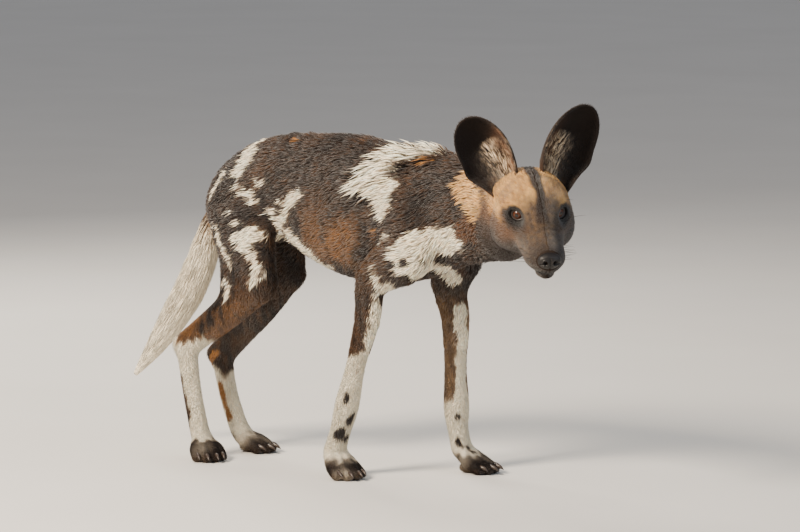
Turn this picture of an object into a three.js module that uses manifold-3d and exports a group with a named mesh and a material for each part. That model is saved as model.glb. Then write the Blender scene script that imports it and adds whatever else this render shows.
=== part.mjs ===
// African wild dog, half grown, standing in mid-step with a low head turned to its right
// Millimetres, +Z up, the animal faces +X and its left side is +Y, soles on Z = 0

import * as THREE from 'three';
import { mergeVertices } from 'three/addons/utils/BufferGeometryUtils.js';
import Module from 'manifold-3d';

const wasm = await Module();
wasm.setup();

// Clearances and the size of the blocks that part the body
const GAP = 0.3;
const ROOT_MARGIN = 0.1;
const WELD = 1e-4;
const SLIVER = 4e-3;
const FILLED = 0.2;
const BLOCK = 1600;
const SOLE_LEVEL = 0;

// Head: the point between the eyes, and how the head is turned, pitched and rolled
const EYE_MIDDLE = [409, -90, 368];
const HEAD_TURN = -44;
const HEAD_PITCH = -19;
const HEAD_ROLL = 2;

// Trunk and neck stations: x, top, bottom, half width, y
const TRUNK = [
  [-158, 346, 298, 14, 0],
  [-144, 376, 284, 31, 0],
  [-116, 405, 282, 44, 0],
  [-78, 430, 290, 49, 0],
  [-30, 443, 293, 49, 0],
  [18, 446, 270, 54, 0],
  [62, 446, 254, 60, 0],
  [108, 438, 250, 61, 0],
  [152, 436, 254, 55, 0],
  [196, 434, 268, 48, -2],
  [240, 428, 282, 44, -8],
  [285, 418, 290, 42, -22],
  [330, 408, 298, 42, -42],
];

// Head stations in the head's own frame: forward, top, bottom, half width
const SKULL = [
  [-88, 16, -48, 30],
  [-66, 31, -58, 42],
  [-42, 38, -64, 50],
  [-18, 35, -64, 46],
  [4, 22, -62, 35],
  [22, 4, -60, 29],
  [44, -9, -58, 25.5],
  [57, -14, -57, 22],
  [65, -19, -54, 17],
];
const CHEEK = { at: [-28, 31, -32], radii: [30, 22, 26], blend: 14 };
const BROW = { at: [-12, 25, 14], radii: [15, 12, 7], blend: 9 };
const LIP_PAD = { at: [46, 15, -38], radii: [22, 11, 11], blend: 6 };
const CHIN = { at: [52, 0, -58], radii: [17, 12, 5], blend: 6 };

// Eyes, their lids and the fissure between them, in the head's frame
const EYE = { at: [-2, 23.6, 0], radius: 9.3, looks: [0.82, 0.56, 0.1] };
const ORBIT = { reach: 24, radius: 13, blend: 7 };
const LID_THICKNESS = 2.3;
const LID_BLEND = 4;
const FISSURE = { halfLength: 8.2, halfHeight: 5.6, depth: 9, tilt: 14 };

// Nose pad, nostrils and the line of the mouth, in the head's frame
const NOSE = { at: [75.5, 0, -30.5], radii: [9.5, 15, 11.5] };
const NOSTRIL = { at: [84, 7.4, -32], radii: [5, 3.1, 3.6] };
const MOUTH = { corner: [12, 28, -43], front: [74, 0, -48.5], sag: 3, height: 1.5, depth: 7, reach: 12 };

// Ears: root and axes in the head's frame, length and half width of the cup
const EARS = {
  right: { root: [-45, -31, 10], axis: [-0.36, -0.46, 0.81], faces: [0.8, -0.3, 0.3], length: 108, half: 33 },
  left: { root: [-45, 31, 8], axis: [-0.15, 0.33, 0.93], faces: [0.85, 0.25, 0.2], length: 119, half: 34 },
};
const EAR_WIDEST = 0.56;
const EAR_ROOT_SHARE = 0.5;
const EAR_POUCH = { at: 0.36, spread: 0.12, out: 5 };
const EAR_THICKNESS = 3;

// Legs: centre, half width across and half depth along at each joint, and the paw's heading
const FORELEGS = {
  right: {
    side: -1,
    scapula: [126, -31, 398, 17, 34],
    shoulder: [182, -46, 302, 27, 34],
    elbow: [131, -57, 264, 22, 23],
    forearm: [124, -61, 210, 16, 19],
    shaft: [108, -64, 150, 13, 14],
    carpus: [95, -66, 96, 16.5, 17],
    pastern: [86, -68, 62, 15, 14.5],
    paw: [77, -69, 34, 16, 15],
    heading: -24,
  },
  left: {
    side: 1,
    scapula: [128, 31, 398, 17, 34],
    shoulder: [196, 46, 304, 27, 34],
    elbow: [174, 55, 250, 21, 26],
    forearm: [182, 57, 205, 17.5, 21],
    shaft: [181, 59, 140, 15, 16],
    carpus: [182, 60, 86, 17.5, 18],
    pastern: [184, 60, 58, 15, 14.5],
    paw: [190, 60, 33, 16, 14],
    heading: 4,
  },
};
const HINDLEGS = {
  right: {
    side: -1,
    hip: [-106, -32, 350, 30, 46],
    thigh: [-84, -42, 296, 29, 42],
    knee: [-62, -50, 244, 25, 28],
    crus: [-108, -47, 204, 17, 22],
    tendon: [-165, -43, 160, 11, 15],
    hock: [-186, -42, 144, 14, 15],
    heel: [-198, -41, 154, 10, 10],
    shank: [-178, -42, 92, 13, 13.5],
    pastern: [-166, -42, 40, 14, 13.5],
    paw: [-160, -42, 26, 16, 13],
    heading: -38,
  },
  left: {
    side: 1,
    hip: [-106, 32, 350, 30, 46],
    thigh: [-94, 42, 298, 29, 42],
    knee: [-88, 49, 248, 25, 28],
    crus: [-126, 46, 198, 17, 24],
    tendon: [-174, 43, 140, 11, 15],
    hock: [-190, 42, 122, 14, 15],
    heel: [-203, 41, 132, 10, 10],
    shank: [-180, 42, 78, 13, 13.5],
    pastern: [-165, 42, 38, 14, 13.5],
    paw: [-157, 42, 25, 16, 13],
    heading: 6,
  },
};
const BUTTOCK = { x: -132, y: 28, z: 330, across: 20, along: 24 };
const HAMSTRING = { behindThigh: 26, y: 38, z: 272, across: 18, along: 22 };
const CALF = { across: 13, along: 18 };
const FRONT_PAW = { length: 54, scale: 1 };
const HIND_PAW = { length: 50, scale: 0.96 };

// Toes: offset from the paw's middle, reach and radius, and the claws on them
const TOES = [
  [-17, 0.8, 8.6],
  [-6.5, 1, 9],
  [6.5, 1, 9],
  [17, 0.8, 8.6],
];
const PAD_HEIGHT = 6.8;
const CLAW = {
  length: 12,
  sink: 6,
  rise: 4,
  depth: 1.2,
  shape: [[0, 0, 2.5], [0.5, 0.06, 2.2], [0.85, 0.24, 1.2], [1, 0.42, 0.35]],
};

// Tail stations: x, z, half width, half depth
const TAIL = [
  [-152, 346, 15, 17],
  [-166, 326, 13, 14],
  [-179, 300, 16, 18],
  [-192, 262, 21, 23],
  [-214, 218, 22, 24],
  [-243, 176, 19, 21],
  [-272, 138, 13, 14],
  [-295, 111, 7, 7],
  [-306, 98, 3, 3],
];

// Locks of long hair: how far along, how wide, how thick and how high each of their rings is
const LOCK_RUN = [0, 0.5, 1];
const LOCK_WIDTHS = [0.85, 1, 0.12];
const LOCK_DEPTHS = [1.1, 0.9, 0.4];
const LOCK_HEIGHTS = [-4, 4, 6.5];

// Tail brush: shares are of the tail's own length
const TAIL_CORE = { bareTo: 0.26, share: 0.48, end: 0.84 };
const TAIL_LOCKS = {
  rings: 5, inRing: 4, first: 0.17, last: 0.7, length: 0.31, out: [0.3, 0.8, 0.97],
  size: { half: 12, depth: 1.9 }, seed: 7,
};

// Pale locks over the withers: each row's angle from the top line and its reach along x
const MANE = {
  turns: [9, 32, 55, 78], from: [150, 142, 136, 132], to: [232, 216, 196, 174], inRow: 3,
  axis: 360, lie: [-0.78, 0, -0.62], length: 46, size: { half: 12, depth: 1.7 }, seed: 11,
};

// Parting planes: a point and the way it looks
const NECK_BASE = { at: [205, 0, 350], to: [0.915, 0, 0.403] };
const HEAD_BACK = { at: [-60, 0, 0], to: [1, 0, -0.1] };
const TAIL_ROOT = { at: [-163, 0, 334], to: [-0.45, 0, -0.9] };
const TAIL_FRONT = { at: [-158, 0, 322], to: [-1, 0, 0.1] };
const FORE_SIDE = { low: [30, 245], high: [70, 330] };
const HIND_SIDE = { low: [12, 285], high: [58, 385] };
const FLANK = { at: [-40, 0, 290], to: [-0.904, 0, -0.428] };
const WRIST_LEVEL = 36;
const TAIL_CLEAR_LEVEL = 236;

// Colours, roughness
const COLOURS = {
  darkCoat: [0x3a2a20, 0.95],
  tanCoat: [0xa9783f, 0.95],
  paleCoat: [0xe6dccb, 0.95],
  ear: [0x2b211c, 0.95],
  nose: [0x161313, 0.45],
  eye: [0x2a1208, 0.1],
};

// Small vector helpers
const radians = THREE.MathUtils.degToRad;
const vec = (row) => new THREE.Vector3(row[0], row[1], row[2]);
const mirrored = (row, side) => [row[0], row[1] * side, row[2]];

// The head's frame as a matrix: forward, left and up, then the middle between the eyes
function headMatrix() {
  const turn = radians(HEAD_TURN);
  const pitch = radians(HEAD_PITCH);
  const roll = radians(HEAD_ROLL);
  const forward = new THREE.Vector3(
    Math.cos(turn) * Math.cos(pitch),
    Math.sin(turn) * Math.cos(pitch),
    Math.sin(pitch),
  );
  const level = new THREE.Vector3(-Math.sin(turn), Math.cos(turn), 0);
  const upright = new THREE.Vector3().crossVectors(forward, level);
  const left = level.clone().multiplyScalar(Math.cos(roll)).addScaledVector(upright, Math.sin(roll));
  const up = upright.clone().multiplyScalar(Math.cos(roll)).addScaledVector(level, -Math.sin(roll));
  return new THREE.Matrix4().makeBasis(forward, left, up).setPosition(vec(EYE_MIDDLE));
}
const HEAD = headMatrix();
const inHead = (row) => vec(row).applyMatrix4(HEAD);
const headWay = (row) => vec(row).transformDirection(HEAD);

// Rows of numbers run through a smooth curve, with a few steps between each two
function smoothRows(rows, steps) {
  const before = rows[0].map((value, k) => 2 * value - rows[1][k]);
  const after = rows.at(-1).map((value, k) => 2 * value - rows.at(-2)[k]);
  const all = [before, ...rows, after];
  const smooth = [];
  for (let i = 0; i < rows.length - 1; i += 1) {
    for (let s = 0; s < steps; s += 1) {
      const t = s / steps;
      smooth.push(rows[i].map((_, k) => {
        const [a, b, c, d] = [all[i][k], all[i + 1][k], all[i + 2][k], all[i + 3][k]];
        return 0.5 * (2 * b + (c - a) * t + (2 * a - 5 * b + 4 * c - d) * t * t
          + (3 * b - a - 3 * c + d) * t * t * t);
      }));
    }
  }
  smooth.push(rows.at(-1));
  return smooth;
}

// A limb is a row of tapering oval links: x, y, z, half width across, half depth
function limb(rows, across = new THREE.Vector3(0, 1, 0), steps = 3) {
  const stations = rows.length > 2 && steps > 1 ? smoothRows(rows, steps) : rows;
  const links = [];
  for (let i = 0; i < stations.length - 1; i += 1) {
    const start = vec(stations[i]);
    const along = vec(stations[i + 1]).sub(start);
    const length = along.length();
    if (length < 1e-5) continue;
    along.divideScalar(length);
    const side = across.clone().addScaledVector(along, -across.dot(along)).normalize();
    const depth = new THREE.Vector3().crossVectors(along, side);
    links.push({ start, along, length, side, depth, from: stations[i], to: stations[i + 1] });
  }
  return links;
}

// Distance to an oval of three radii, good near its surface
function ovalDistance(u, v, w, a, b, c) {
  const near = Math.hypot(u / a, v / b, w / c);
  const slope = Math.hypot(u / (a * a), v / (b * b), w / (c * c)) + 1e-9;
  return near * (near - 1) / slope;
}

function limbDistance(links, p) {
  let nearest = 1e9;
  for (const link of links) {
    const x = p.x - link.start.x;
    const y = p.y - link.start.y;
    const z = p.z - link.start.z;
    const run = x * link.along.x + y * link.along.y + z * link.along.z;
    const t = Math.min(Math.max(run / link.length, 0), 1);
    const width = link.from[3] + t * (link.to[3] - link.from[3]);
    const depth = link.from[4] + t * (link.to[4] - link.from[4]);
    const u = x * link.side.x + y * link.side.y + z * link.side.z;
    const v = x * link.depth.x + y * link.depth.y + z * link.depth.z;
    nearest = Math.min(nearest, ovalDistance(u, v, run - t * link.length, width, depth, Math.min(width, depth)));
  }
  return nearest;
}

// A ball is an oval lump on three axes
function ball(centre, radii, axes = [[1, 0, 0], [0, 1, 0], [0, 0, 1]].map(vec)) {
  return { centre, radii, axes };
}
const offset = new THREE.Vector3();
function ballDistance(lump, p) {
  offset.subVectors(p, lump.centre);
  const [u, v, w] = lump.axes.map((axis) => offset.dot(axis));
  return ovalDistance(u, v, w, ...lump.radii);
}

// Two surfaces run into one another over the width of a blend
function blend(a, b, width) {
  const share = Math.min(Math.max(0.5 + 0.5 * (b - a) / width, 0), 1);
  return b * (1 - share) + a * share - width * share * (1 - share);
}

// Trunk and neck as one limb
const trunkLimb = limb(TRUNK.map(([x, top, bottom, half, y]) => [x, y, (top + bottom) / 2, half, (top - bottom) / 2]));

// Head: the skull's links, then cheeks, brows, lip pads, chin and lid rims
const HEAD_AXES = [[1, 0, 0], [0, 1, 0], [0, 0, 1]].map(headWay);
const skullLimb = limb(
  SKULL.map(([x, top, bottom, half]) => [...inHead([x, 0, (top + bottom) / 2]), half, (top - bottom) / 2]),
  HEAD_AXES[1],
);
const headLump = (lump, side) => ({
  ...ball(inHead(mirrored(lump.at, side)), lump.radii, HEAD_AXES),
  blend: lump.blend,
});
const headLumps = [headLump(CHIN, 1)];
const orbits = [];
const lidRims = [];
for (const side of [1, -1]) {
  headLumps.push(headLump(CHEEK, side), headLump(BROW, side), headLump(LIP_PAD, side));
  const rim = EYE.radius + LID_THICKNESS;
  const eyeAt = inHead(mirrored(EYE.at, side));
  const before = eyeAt.clone().addScaledVector(headWay(mirrored(EYE.looks, side)), ORBIT.reach);
  orbits.push(ball(before, [ORBIT.radius, ORBIT.radius, ORBIT.radius]));
  lidRims.push(ball(eyeAt, [rim, rim, rim]));
}
function headDistance(p) {
  let distance = limbDistance(skullLimb, p);
  for (const lump of headLumps) distance = blend(distance, ballDistance(lump, p), lump.blend);
  for (const orbit of orbits) distance = -blend(-distance, ballDistance(orbit, p), ORBIT.blend);
  for (const rim of lidRims) distance = blend(distance, ballDistance(rim, p), LID_BLEND);
  return distance;
}

// Paw: four toes side by side and a pad under them
function pawShape(leg, size) {
  const turn = radians(leg.heading);
  const forward = new THREE.Vector3(Math.cos(turn), Math.sin(turn), 0);
  const left = new THREE.Vector3(-Math.sin(turn), Math.cos(turn), 0);
  const base = vec(leg.paw);
  const toes = TOES.map(([out, reach, radius]) => {
    const r = radius * size.scale;
    const at = (spread, run, height) => {
      const place = base.clone().addScaledVector(left, out * size.scale * spread).addScaledVector(forward, run);
      place.z = height;
      return [...place];
    };
    const heel = [...at(0.55, 4, base.z - 6), r * 1.05, r * 1.1];
    const knuckle = [...at(0.95, size.length * reach * 0.48, 15 * size.scale), r * 1.02, r * 1.05];
    const tip = [...at(1.05, size.length * reach * 0.84, 6.6 * size.scale), r * 0.92, r * 0.9];
    return { links: limb([heel, knuckle, tip], left, 2), tip: vec(tip), radius: r };
  });
  const middle = base.clone().addScaledVector(forward, size.length * 0.28);
  middle.z = PAD_HEIGHT;
  const up = new THREE.Vector3(0, 0, 1);
  const pad = ball(middle, [17 * size.scale, 16 * size.scale, 9], [forward, left, up]);
  return { toes, pad, forward, size };
}
function pawDistance(paw, p) {
  let distance = 1e9;
  for (const toe of paw.toes) distance = blend(distance, limbDistance(toe.links, p), 3.2 * paw.size.scale);
  return blend(distance, ballDistance(paw.pad, p), 5);
}

// Legs as limbs
function forelegShape(leg) {
  return {
    upper: limb([leg.scapula, leg.shoulder, leg.elbow]),
    lower: limb([leg.shoulder, leg.elbow, leg.forearm, leg.shaft, leg.carpus, leg.pastern, leg.paw]),
    paw: pawShape(leg, FRONT_PAW),
  };
}
function hindlegShape(leg) {
  const calf = leg.crus.slice(0, 3);
  const buttock = [BUTTOCK.x, leg.side * BUTTOCK.y, BUTTOCK.z, BUTTOCK.across, BUTTOCK.along];
  const hamstring = [
    leg.thigh[0] - HAMSTRING.behindThigh,
    leg.side * HAMSTRING.y,
    HAMSTRING.z,
    HAMSTRING.across,
    HAMSTRING.along,
  ];
  return {
    thigh: limb([leg.hip, leg.thigh, leg.knee]),
    rear: limb([buttock, hamstring, [...calf, CALF.across, CALF.along]]),
    crus: limb([leg.knee, leg.crus, leg.tendon, leg.hock]),
    heel: limb([[calf[0] - 12, calf[1], calf[2] + 6, 9, 10], leg.heel]),
    shank: limb([leg.hock, leg.shank, leg.pastern, leg.paw]),
    paw: pawShape(leg, HIND_PAW),
  };
}
const forelegs = { right: forelegShape(FORELEGS.right), left: forelegShape(FORELEGS.left) };
const hindlegs = { right: hindlegShape(HINDLEGS.right), left: hindlegShape(HINDLEGS.left) };
const tailLimb = limb(TAIL.map(([x, z, half, depth]) => [x, 0, z, half, depth]), undefined, 2);

// The whole body as one smooth surface, negative inside
function bodyDistance(p) {
  let distance = limbDistance(trunkLimb, p);
  for (const name of ['right', 'left']) {
    const { thigh, rear } = hindlegs[name];
    distance = blend(distance, limbDistance(forelegs[name].upper, p), 22);
    distance = blend(distance, blend(limbDistance(thigh, p), limbDistance(rear, p), 14), 18);
  }
  for (const name of ['right', 'left']) {
    const fore = forelegs[name];
    const hind = hindlegs[name];
    distance = blend(distance, blend(limbDistance(fore.lower, p), pawDistance(fore.paw, p), 5), 10);
    let lower = blend(limbDistance(hind.crus, p), limbDistance(hind.shank, p), 6);
    lower = blend(lower, limbDistance(hind.heel, p), 15);
    distance = blend(distance, blend(lower, pawDistance(hind.paw, p), 5), 10);
  }
  distance = blend(distance, headDistance(p), 22);
  return blend(distance, limbDistance(tailLimb, p), 10);
}

// Grid lines from one end to the other, with a chosen step in each stretch: [end, step]
function gridLines(start, stretches) {
  const lines = [start];
  for (const [end, step] of stretches) {
    const from = lines.at(-1);
    const count = Math.max(1, Math.round((end - from) / step));
    for (let i = 1; i <= count; i += 1) lines.push(from + (end - from) * i / count);
  }
  return lines;
}

// Fill one corner of every grid face whose inside corners only touch across a diagonal
function joinDiagonals(values, counts, at) {
  const ways = [[1, 0, 0], [0, 1, 0], [0, 0, 1]];
  let changed = true;
  while (changed) {
    changed = false;
    for (let i = 0; i < counts[0] - 1; i += 1) {
      for (let j = 0; j < counts[1] - 1; j += 1) {
        for (let k = 0; k < counts[2] - 1; k += 1) {
          for (let m = 0; m < 3; m += 1) {
            const [a, b] = [ways[m], ways[(m + 1) % 3]];
            const face = [[0, 0], [1, 0], [1, 1], [0, 1]].map(([s, t]) => (
              at(i + s * a[0] + t * b[0], j + s * a[1] + t * b[1], k + s * a[2] + t * b[2])));
            const inside = face.map((corner) => values[corner] < 0);
            if (inside[0] !== inside[2] || inside[1] !== inside[3] || inside[0] === inside[1]) continue;
            const open = face.filter((corner, n) => !inside[n]);
            const nearer = values[open[0]] < values[open[1]] ? open[0] : open[1];
            values[nearer] = -FILLED;
            changed = true;
          }
        }
      }
    }
  }
}

// Polygonise the body inside a grid that may be turned by a matrix
function surface(distance, grid, matrix = new THREE.Matrix4()) {
  const [nx, ny, nz] = grid.map((lines) => lines.length);
  const values = new Float64Array(nx * ny * nz);
  const at = (i, j, k) => (i * ny + j) * nz + k;
  const p = new THREE.Vector3();
  for (let i = 0; i < nx; i += 1) {
    for (let j = 0; j < ny; j += 1) {
      for (let k = 0; k < nz; k += 1) {
        const edge = i === 0 || j === 0 || k === 0 || i === nx - 1 || j === ny - 1 || k === nz - 1;
        p.set(grid[0][i], grid[1][j], grid[2][k]).applyMatrix4(matrix);
        values[at(i, j, k)] = edge ? 5 : distance(p);
      }
    }
  }
  joinDiagonals(values, [nx, ny, nz], at);
  const ids = new Map();
  const points = [];
  const corners = [[0, 0, 0], [1, 0, 0], [0, 1, 0], [1, 1, 0], [0, 0, 1], [1, 0, 1], [0, 1, 1], [1, 1, 1]];
  const edges = [];
  corners.forEach((a, m) => corners.forEach((b, n) => {
    if (m < n && Math.abs(a[0] - b[0]) + Math.abs(a[1] - b[1]) + Math.abs(a[2] - b[2]) === 1) edges.push([a, b]);
  }));
  const pointOf = (i, j, k) => {
    const key = at(i, j, k);
    if (ids.has(key)) return ids.get(key);
    const sum = [0, 0, 0];
    let count = 0;
    for (const [a, b] of edges) {
      const va = values[at(i + a[0], j + a[1], k + a[2])];
      const vb = values[at(i + b[0], j + b[1], k + b[2])];
      if ((va < 0) === (vb < 0)) continue;
      const t = va / (va - vb);
      const cell = [i, j, k];
      for (let m = 0; m < 3; m += 1) {
        const low = grid[m][cell[m] + a[m]];
        sum[m] += low + t * (grid[m][cell[m] + b[m]] - low);
      }
      count += 1;
    }
    p.set(sum[0] / count, sum[1] / count, sum[2] / count).applyMatrix4(matrix);
    points.push(p.x, p.y, p.z);
    ids.set(key, points.length / 3 - 1);
    return points.length / 3 - 1;
  };
  const triangles = [];
  const quad = (a, b, c, d, flip) => {
    if (flip) triangles.push(a, c, b, a, d, c);
    else triangles.push(a, b, c, a, c, d);
  };
  for (let i = 0; i < nx - 1; i += 1) {
    for (let j = 0; j < ny - 1; j += 1) {
      for (let k = 0; k < nz - 1; k += 1) {
        const here = values[at(i, j, k)] < 0;
        if (here !== values[at(i + 1, j, k)] < 0) {
          quad(pointOf(i, j - 1, k - 1), pointOf(i, j, k - 1), pointOf(i, j, k), pointOf(i, j - 1, k), !here);
        }
        if (here !== values[at(i, j + 1, k)] < 0) {
          quad(pointOf(i - 1, j, k - 1), pointOf(i - 1, j, k), pointOf(i, j, k), pointOf(i, j, k - 1), !here);
        }
        if (here !== values[at(i, j, k + 1)] < 0) {
          quad(pointOf(i - 1, j - 1, k), pointOf(i, j - 1, k), pointOf(i, j, k), pointOf(i - 1, j, k), !here);
        }
      }
    }
  }
  return solidFrom(points, triangles);
}

function solidFrom(points, triangles) {
  const mesh = new wasm.Mesh({
    numProp: 3,
    vertProperties: new Float32Array(points),
    triVerts: new Uint32Array(triangles),
  });
  return new wasm.Manifold(mesh);
}

// The largest closed body of a solid, so that loose scraps and sealed hollows go
function largest(solid) {
  const pieces = solid.decompose();
  return pieces.reduce((best, piece) => (piece.volume() > best.volume() ? piece : best));
}

// A geometry with its close corners made one, and the triangles that are left
function welded(geometry, reach) {
  const whole = mergeVertices(geometry, reach);
  const index = whole.index.array;
  const triangles = [];
  for (let i = 0; i < index.length; i += 3) {
    const [a, b, c] = index.slice(i, i + 3);
    if (a !== b && b !== c && c !== a) triangles.push(a, b, c);
  }
  return { points: whole.attributes.position.array, triangles };
}

// A closed three.js geometry as a solid, placed by a matrix
function solidOf(geometry, matrix = new THREE.Matrix4()) {
  const placed = geometry.clone().applyMatrix4(matrix);
  placed.deleteAttribute('normal');
  placed.deleteAttribute('uv');
  const { points, triangles } = welded(placed, WELD);
  return solidFrom(points, triangles);
}

// The block of space that a plane looks into, moved along its way by a shift
function beyond(plane, shift = 0) {
  const way = plane.to.clone().normalize();
  const turn = new THREE.Quaternion().setFromUnitVectors(new THREE.Vector3(0, 0, 1), way);
  const middle = plane.at.clone().addScaledVector(way, BLOCK / 2 + shift);
  const place = new THREE.Matrix4().compose(middle, turn, new THREE.Vector3(1, 1, 1));
  return solidOf(new THREE.BoxGeometry(BLOCK, BLOCK, BLOCK), place);
}
const planeOf = ({ at, to }) => ({ at: vec(at), to: vec(to) });

// The space beyond every one of some planes, made larger or smaller by a shift
function wedge(planes, shift) {
  return planes.map((plane) => beyond(plane, shift)).reduce((all, block) => all.intersect(block));
}

// A plane along X that leans outward on one side of the body
function sidePlane({ low, high }, side) {
  const rise = high[1] - low[1];
  const run = high[0] - low[0];
  return { at: new THREE.Vector3(0, side * low[0], low[1]), to: new THREE.Vector3(0, side * rise, -run) };
}

// Parting planes in the body's frame
const neckBase = planeOf(NECK_BASE);
const headBack = { at: inHead(HEAD_BACK.at), to: headWay(HEAD_BACK.to) };
const tailPlanes = [planeOf(TAIL_ROOT), planeOf(TAIL_FRONT)];
const flank = planeOf(FLANK);
const foreWedge = (side, shift) => wedge([sidePlane(FORE_SIDE, side), middlePlane(side)], shift);
const hindWedge = (side, shift) => wedge([sidePlane(HIND_SIDE, side), middlePlane(side), flank], shift);
const tailBlock = (shift) => wedge([...tailPlanes, level(TAIL_CLEAR_LEVEL, 1)], shift);
const foreRegion = { x: [30, 262], low: -12, high: 352 };
function level(height, way) {
  return { at: new THREE.Vector3(0, 0, height), to: new THREE.Vector3(0, 0, way) };
}
function middlePlane(side) {
  return { at: new THREE.Vector3(0, 0, 0), to: new THREE.Vector3(0, side, 0) };
}

// Torso: everything that the neck, legs and tail don't take
function torso() {
  const grid = [
    gridLines(-178, [[264, 20]]),
    gridLines(-90, [[90, 18]]),
    gridLines(226, [[462, 19]]),
  ];
  let solid = surface(bodyDistance, grid).add(mane).subtract(beyond(neckBase, -GAP / 2));
  for (const side of [1, -1]) {
    const fore = foreWedge(side, -GAP / 2).intersect(foreBlock());
    solid = solid.subtract(fore).subtract(hindWedge(side, -GAP / 2));
  }
  return solid.subtract(tailBlock(-GAP / 2));
}

// The stretch of the body along which a foreleg may be parted
function foreBlock() {
  const [back, front] = foreRegion.x;
  const block = new THREE.BoxGeometry(front - back, BLOCK, BLOCK);
  return solidOf(block, new THREE.Matrix4().makeTranslation((front + back) / 2, 0, 0));
}

function neck() {
  const grid = [
    gridLines(138, [[420, 17]]),
    gridLines(-130, [[75, 17]]),
    gridLines(240, [[470, 17]]),
  ];
  let solid = surface(bodyDistance, grid).add(mane).intersect(beyond(neckBase, GAP / 2));
  solid = solid.subtract(beyond(headBack, -GAP / 2));
  for (const side of [1, -1]) solid = solid.subtract(foreWedge(side, -GAP / 2).intersect(foreBlock()));
  return solid;
}

// A closed body through rings of points, each given as a station with its own two half sizes
function loft(stations, sides, across = new THREE.Vector3(0, 1, 0)) {
  const points = [];
  const triangles = [];
  stations.forEach((station, i) => {
    const before = vec(stations[Math.max(i - 1, 0)]);
    const along = vec(stations[Math.min(i + 1, stations.length - 1)]).sub(before).normalize();
    const side = across.clone().addScaledVector(along, -across.dot(along)).normalize();
    const depth = new THREE.Vector3().crossVectors(along, side);
    for (let k = 0; k < sides; k += 1) {
      const turn = 2 * Math.PI * k / sides;
      const place = vec(station).addScaledVector(side, station[3] * Math.cos(turn));
      points.push(...place.addScaledVector(depth, station[4] * Math.sin(turn)));
    }
  });
  for (let i = 0; i < stations.length - 1; i += 1) {
    for (let k = 0; k < sides; k += 1) {
      const a = i * sides + k;
      const b = i * sides + (k + 1) % sides;
      triangles.push(a, b, b + sides, a, b + sides, a + sides);
    }
  }
  const last = (stations.length - 1) * sides;
  for (let k = 1; k < sides - 1; k += 1) triangles.push(0, k + 1, k, last, last + k, last + k + 1);
  return solidFrom(points, triangles);
}

// Lock: a flat, tapering tuft through a few places, its width across the way it faces
function lock(places, across, size) {
  const stations = places.map((place, i) => [...place, size.half * LOCK_WIDTHS[i], size.depth * LOCK_DEPTHS[i]]);
  return loft(stations, 4, across);
}
const jitter = (reach) => (THREE.MathUtils.seededRandom() - 0.5) * 2 * reach;

// Tail: a slim core and rings of overlapping locks that reach the brush's outline
const tailRows = smoothRows(TAIL.map(([x, z, half, depth]) => [x, 0, z, half, depth]), 2);
function tailStation(share) {
  const at = Math.min(Math.max(share, 0), 1) * (tailRows.length - 1);
  const i = Math.min(Math.floor(at), tailRows.length - 2);
  const t = at - i;
  const row = tailRows[i].map((value, k) => value + (tailRows[i + 1][k] - value) * t);
  const along = vec(tailRows[i + 1]).sub(vec(tailRows[i])).normalize();
  return { row, along, depthWay: new THREE.Vector3().crossVectors(along, new THREE.Vector3(0, 1, 0)).normalize() };
}
function tailPlace(share, turn, out) {
  const { row, depthWay } = tailStation(share);
  const place = vec(row);
  place.y += row[3] * out * Math.cos(turn);
  return place.addScaledVector(depthWay, row[4] * out * Math.sin(turn));
}
function tailCore() {
  const { bareTo, share, end } = TAIL_CORE;
  const stations = [];
  for (let i = 0; i <= 7; i += 1) {
    const at = end * i / 7;
    const { row } = tailStation(at);
    const size = at < bareTo ? 1 - (1 - share) * at / bareTo : share * (1 - 0.6 * (at - bareTo) / (end - bareTo));
    stations.push([row[0], row[1], row[2], row[3] * size, row[4] * size]);
  }
  return loft(stations, 8);
}
function tail() {
  const { rings, inRing, first, last, length, size } = TAIL_LOCKS;
  THREE.MathUtils.seededRandom(TAIL_LOCKS.seed);
  let solid = tailCore();
  for (let i = 0; i < rings; i += 1) {
    const root = first + (last - first) * i / (rings - 1);
    for (let k = 0; k < inRing; k += 1) {
      const turn = 2 * Math.PI * (k + (i % 2) / 2 + jitter(0.12)) / inRing;
      const reach = length * (1 + jitter(0.12));
      const places = LOCK_RUN.map((run, n) => tailPlace(root + reach * run, turn + run * jitter(0.2), TAIL_LOCKS.out[n]));
      const across = tailPlace(root, turn + 0.3, 1).sub(tailPlace(root, turn - 0.3, 1));
      solid = solid.add(lock(places, across, size));
    }
  }
  return solid.intersect(wedge(tailPlanes, GAP / 2));
}

// Withers: long pale locks that lie back and down over both shoulders
function surfaceNormal(place) {
  const normal = new THREE.Vector3();
  for (const axis of ['x', 'y', 'z']) {
    const step = new THREE.Vector3();
    step[axis] = 1;
    normal[axis] = bodyDistance(place.clone().add(step)) - bodyDistance(place.clone().sub(step));
  }
  return normal.normalize();
}
function settled(place, height) {
  let next = place;
  for (let i = 0; i < 3; i += 1) {
    next = next.clone().addScaledVector(surfaceNormal(next), height - bodyDistance(next));
  }
  return next;
}
function maneLocks() {
  THREE.MathUtils.seededRandom(MANE.seed);
  const locks = [];
  MANE.turns.forEach((turn, row) => {
    for (let i = 0; i < MANE.inRow; i += 1) {
      for (const side of [1, -1]) {
        const x = MANE.from[row] + (MANE.to[row] - MANE.from[row]) * (i + jitter(0.2)) / (MANE.inRow - 1);
        const angle = radians(turn + jitter(4));
        let place = new THREE.Vector3(x, side * 60 * Math.sin(angle), MANE.axis + 80 * Math.cos(angle));
        place = settled(place, LOCK_HEIGHTS[0]);
        const across = new THREE.Vector3().crossVectors(surfaceNormal(place), vec(MANE.lie)).normalize();
        const places = LOCK_HEIGHTS.map((height, n) => {
          if (n > 0) place = settled(place.clone().addScaledVector(vec(MANE.lie), MANE.length / 2), height);
          return place;
        });
        locks.push(lock(places, across, MANE.size));
      }
    }
  });
  return locks.reduce((all, one) => all.add(one));
}
const mane = maneLocks();

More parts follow.
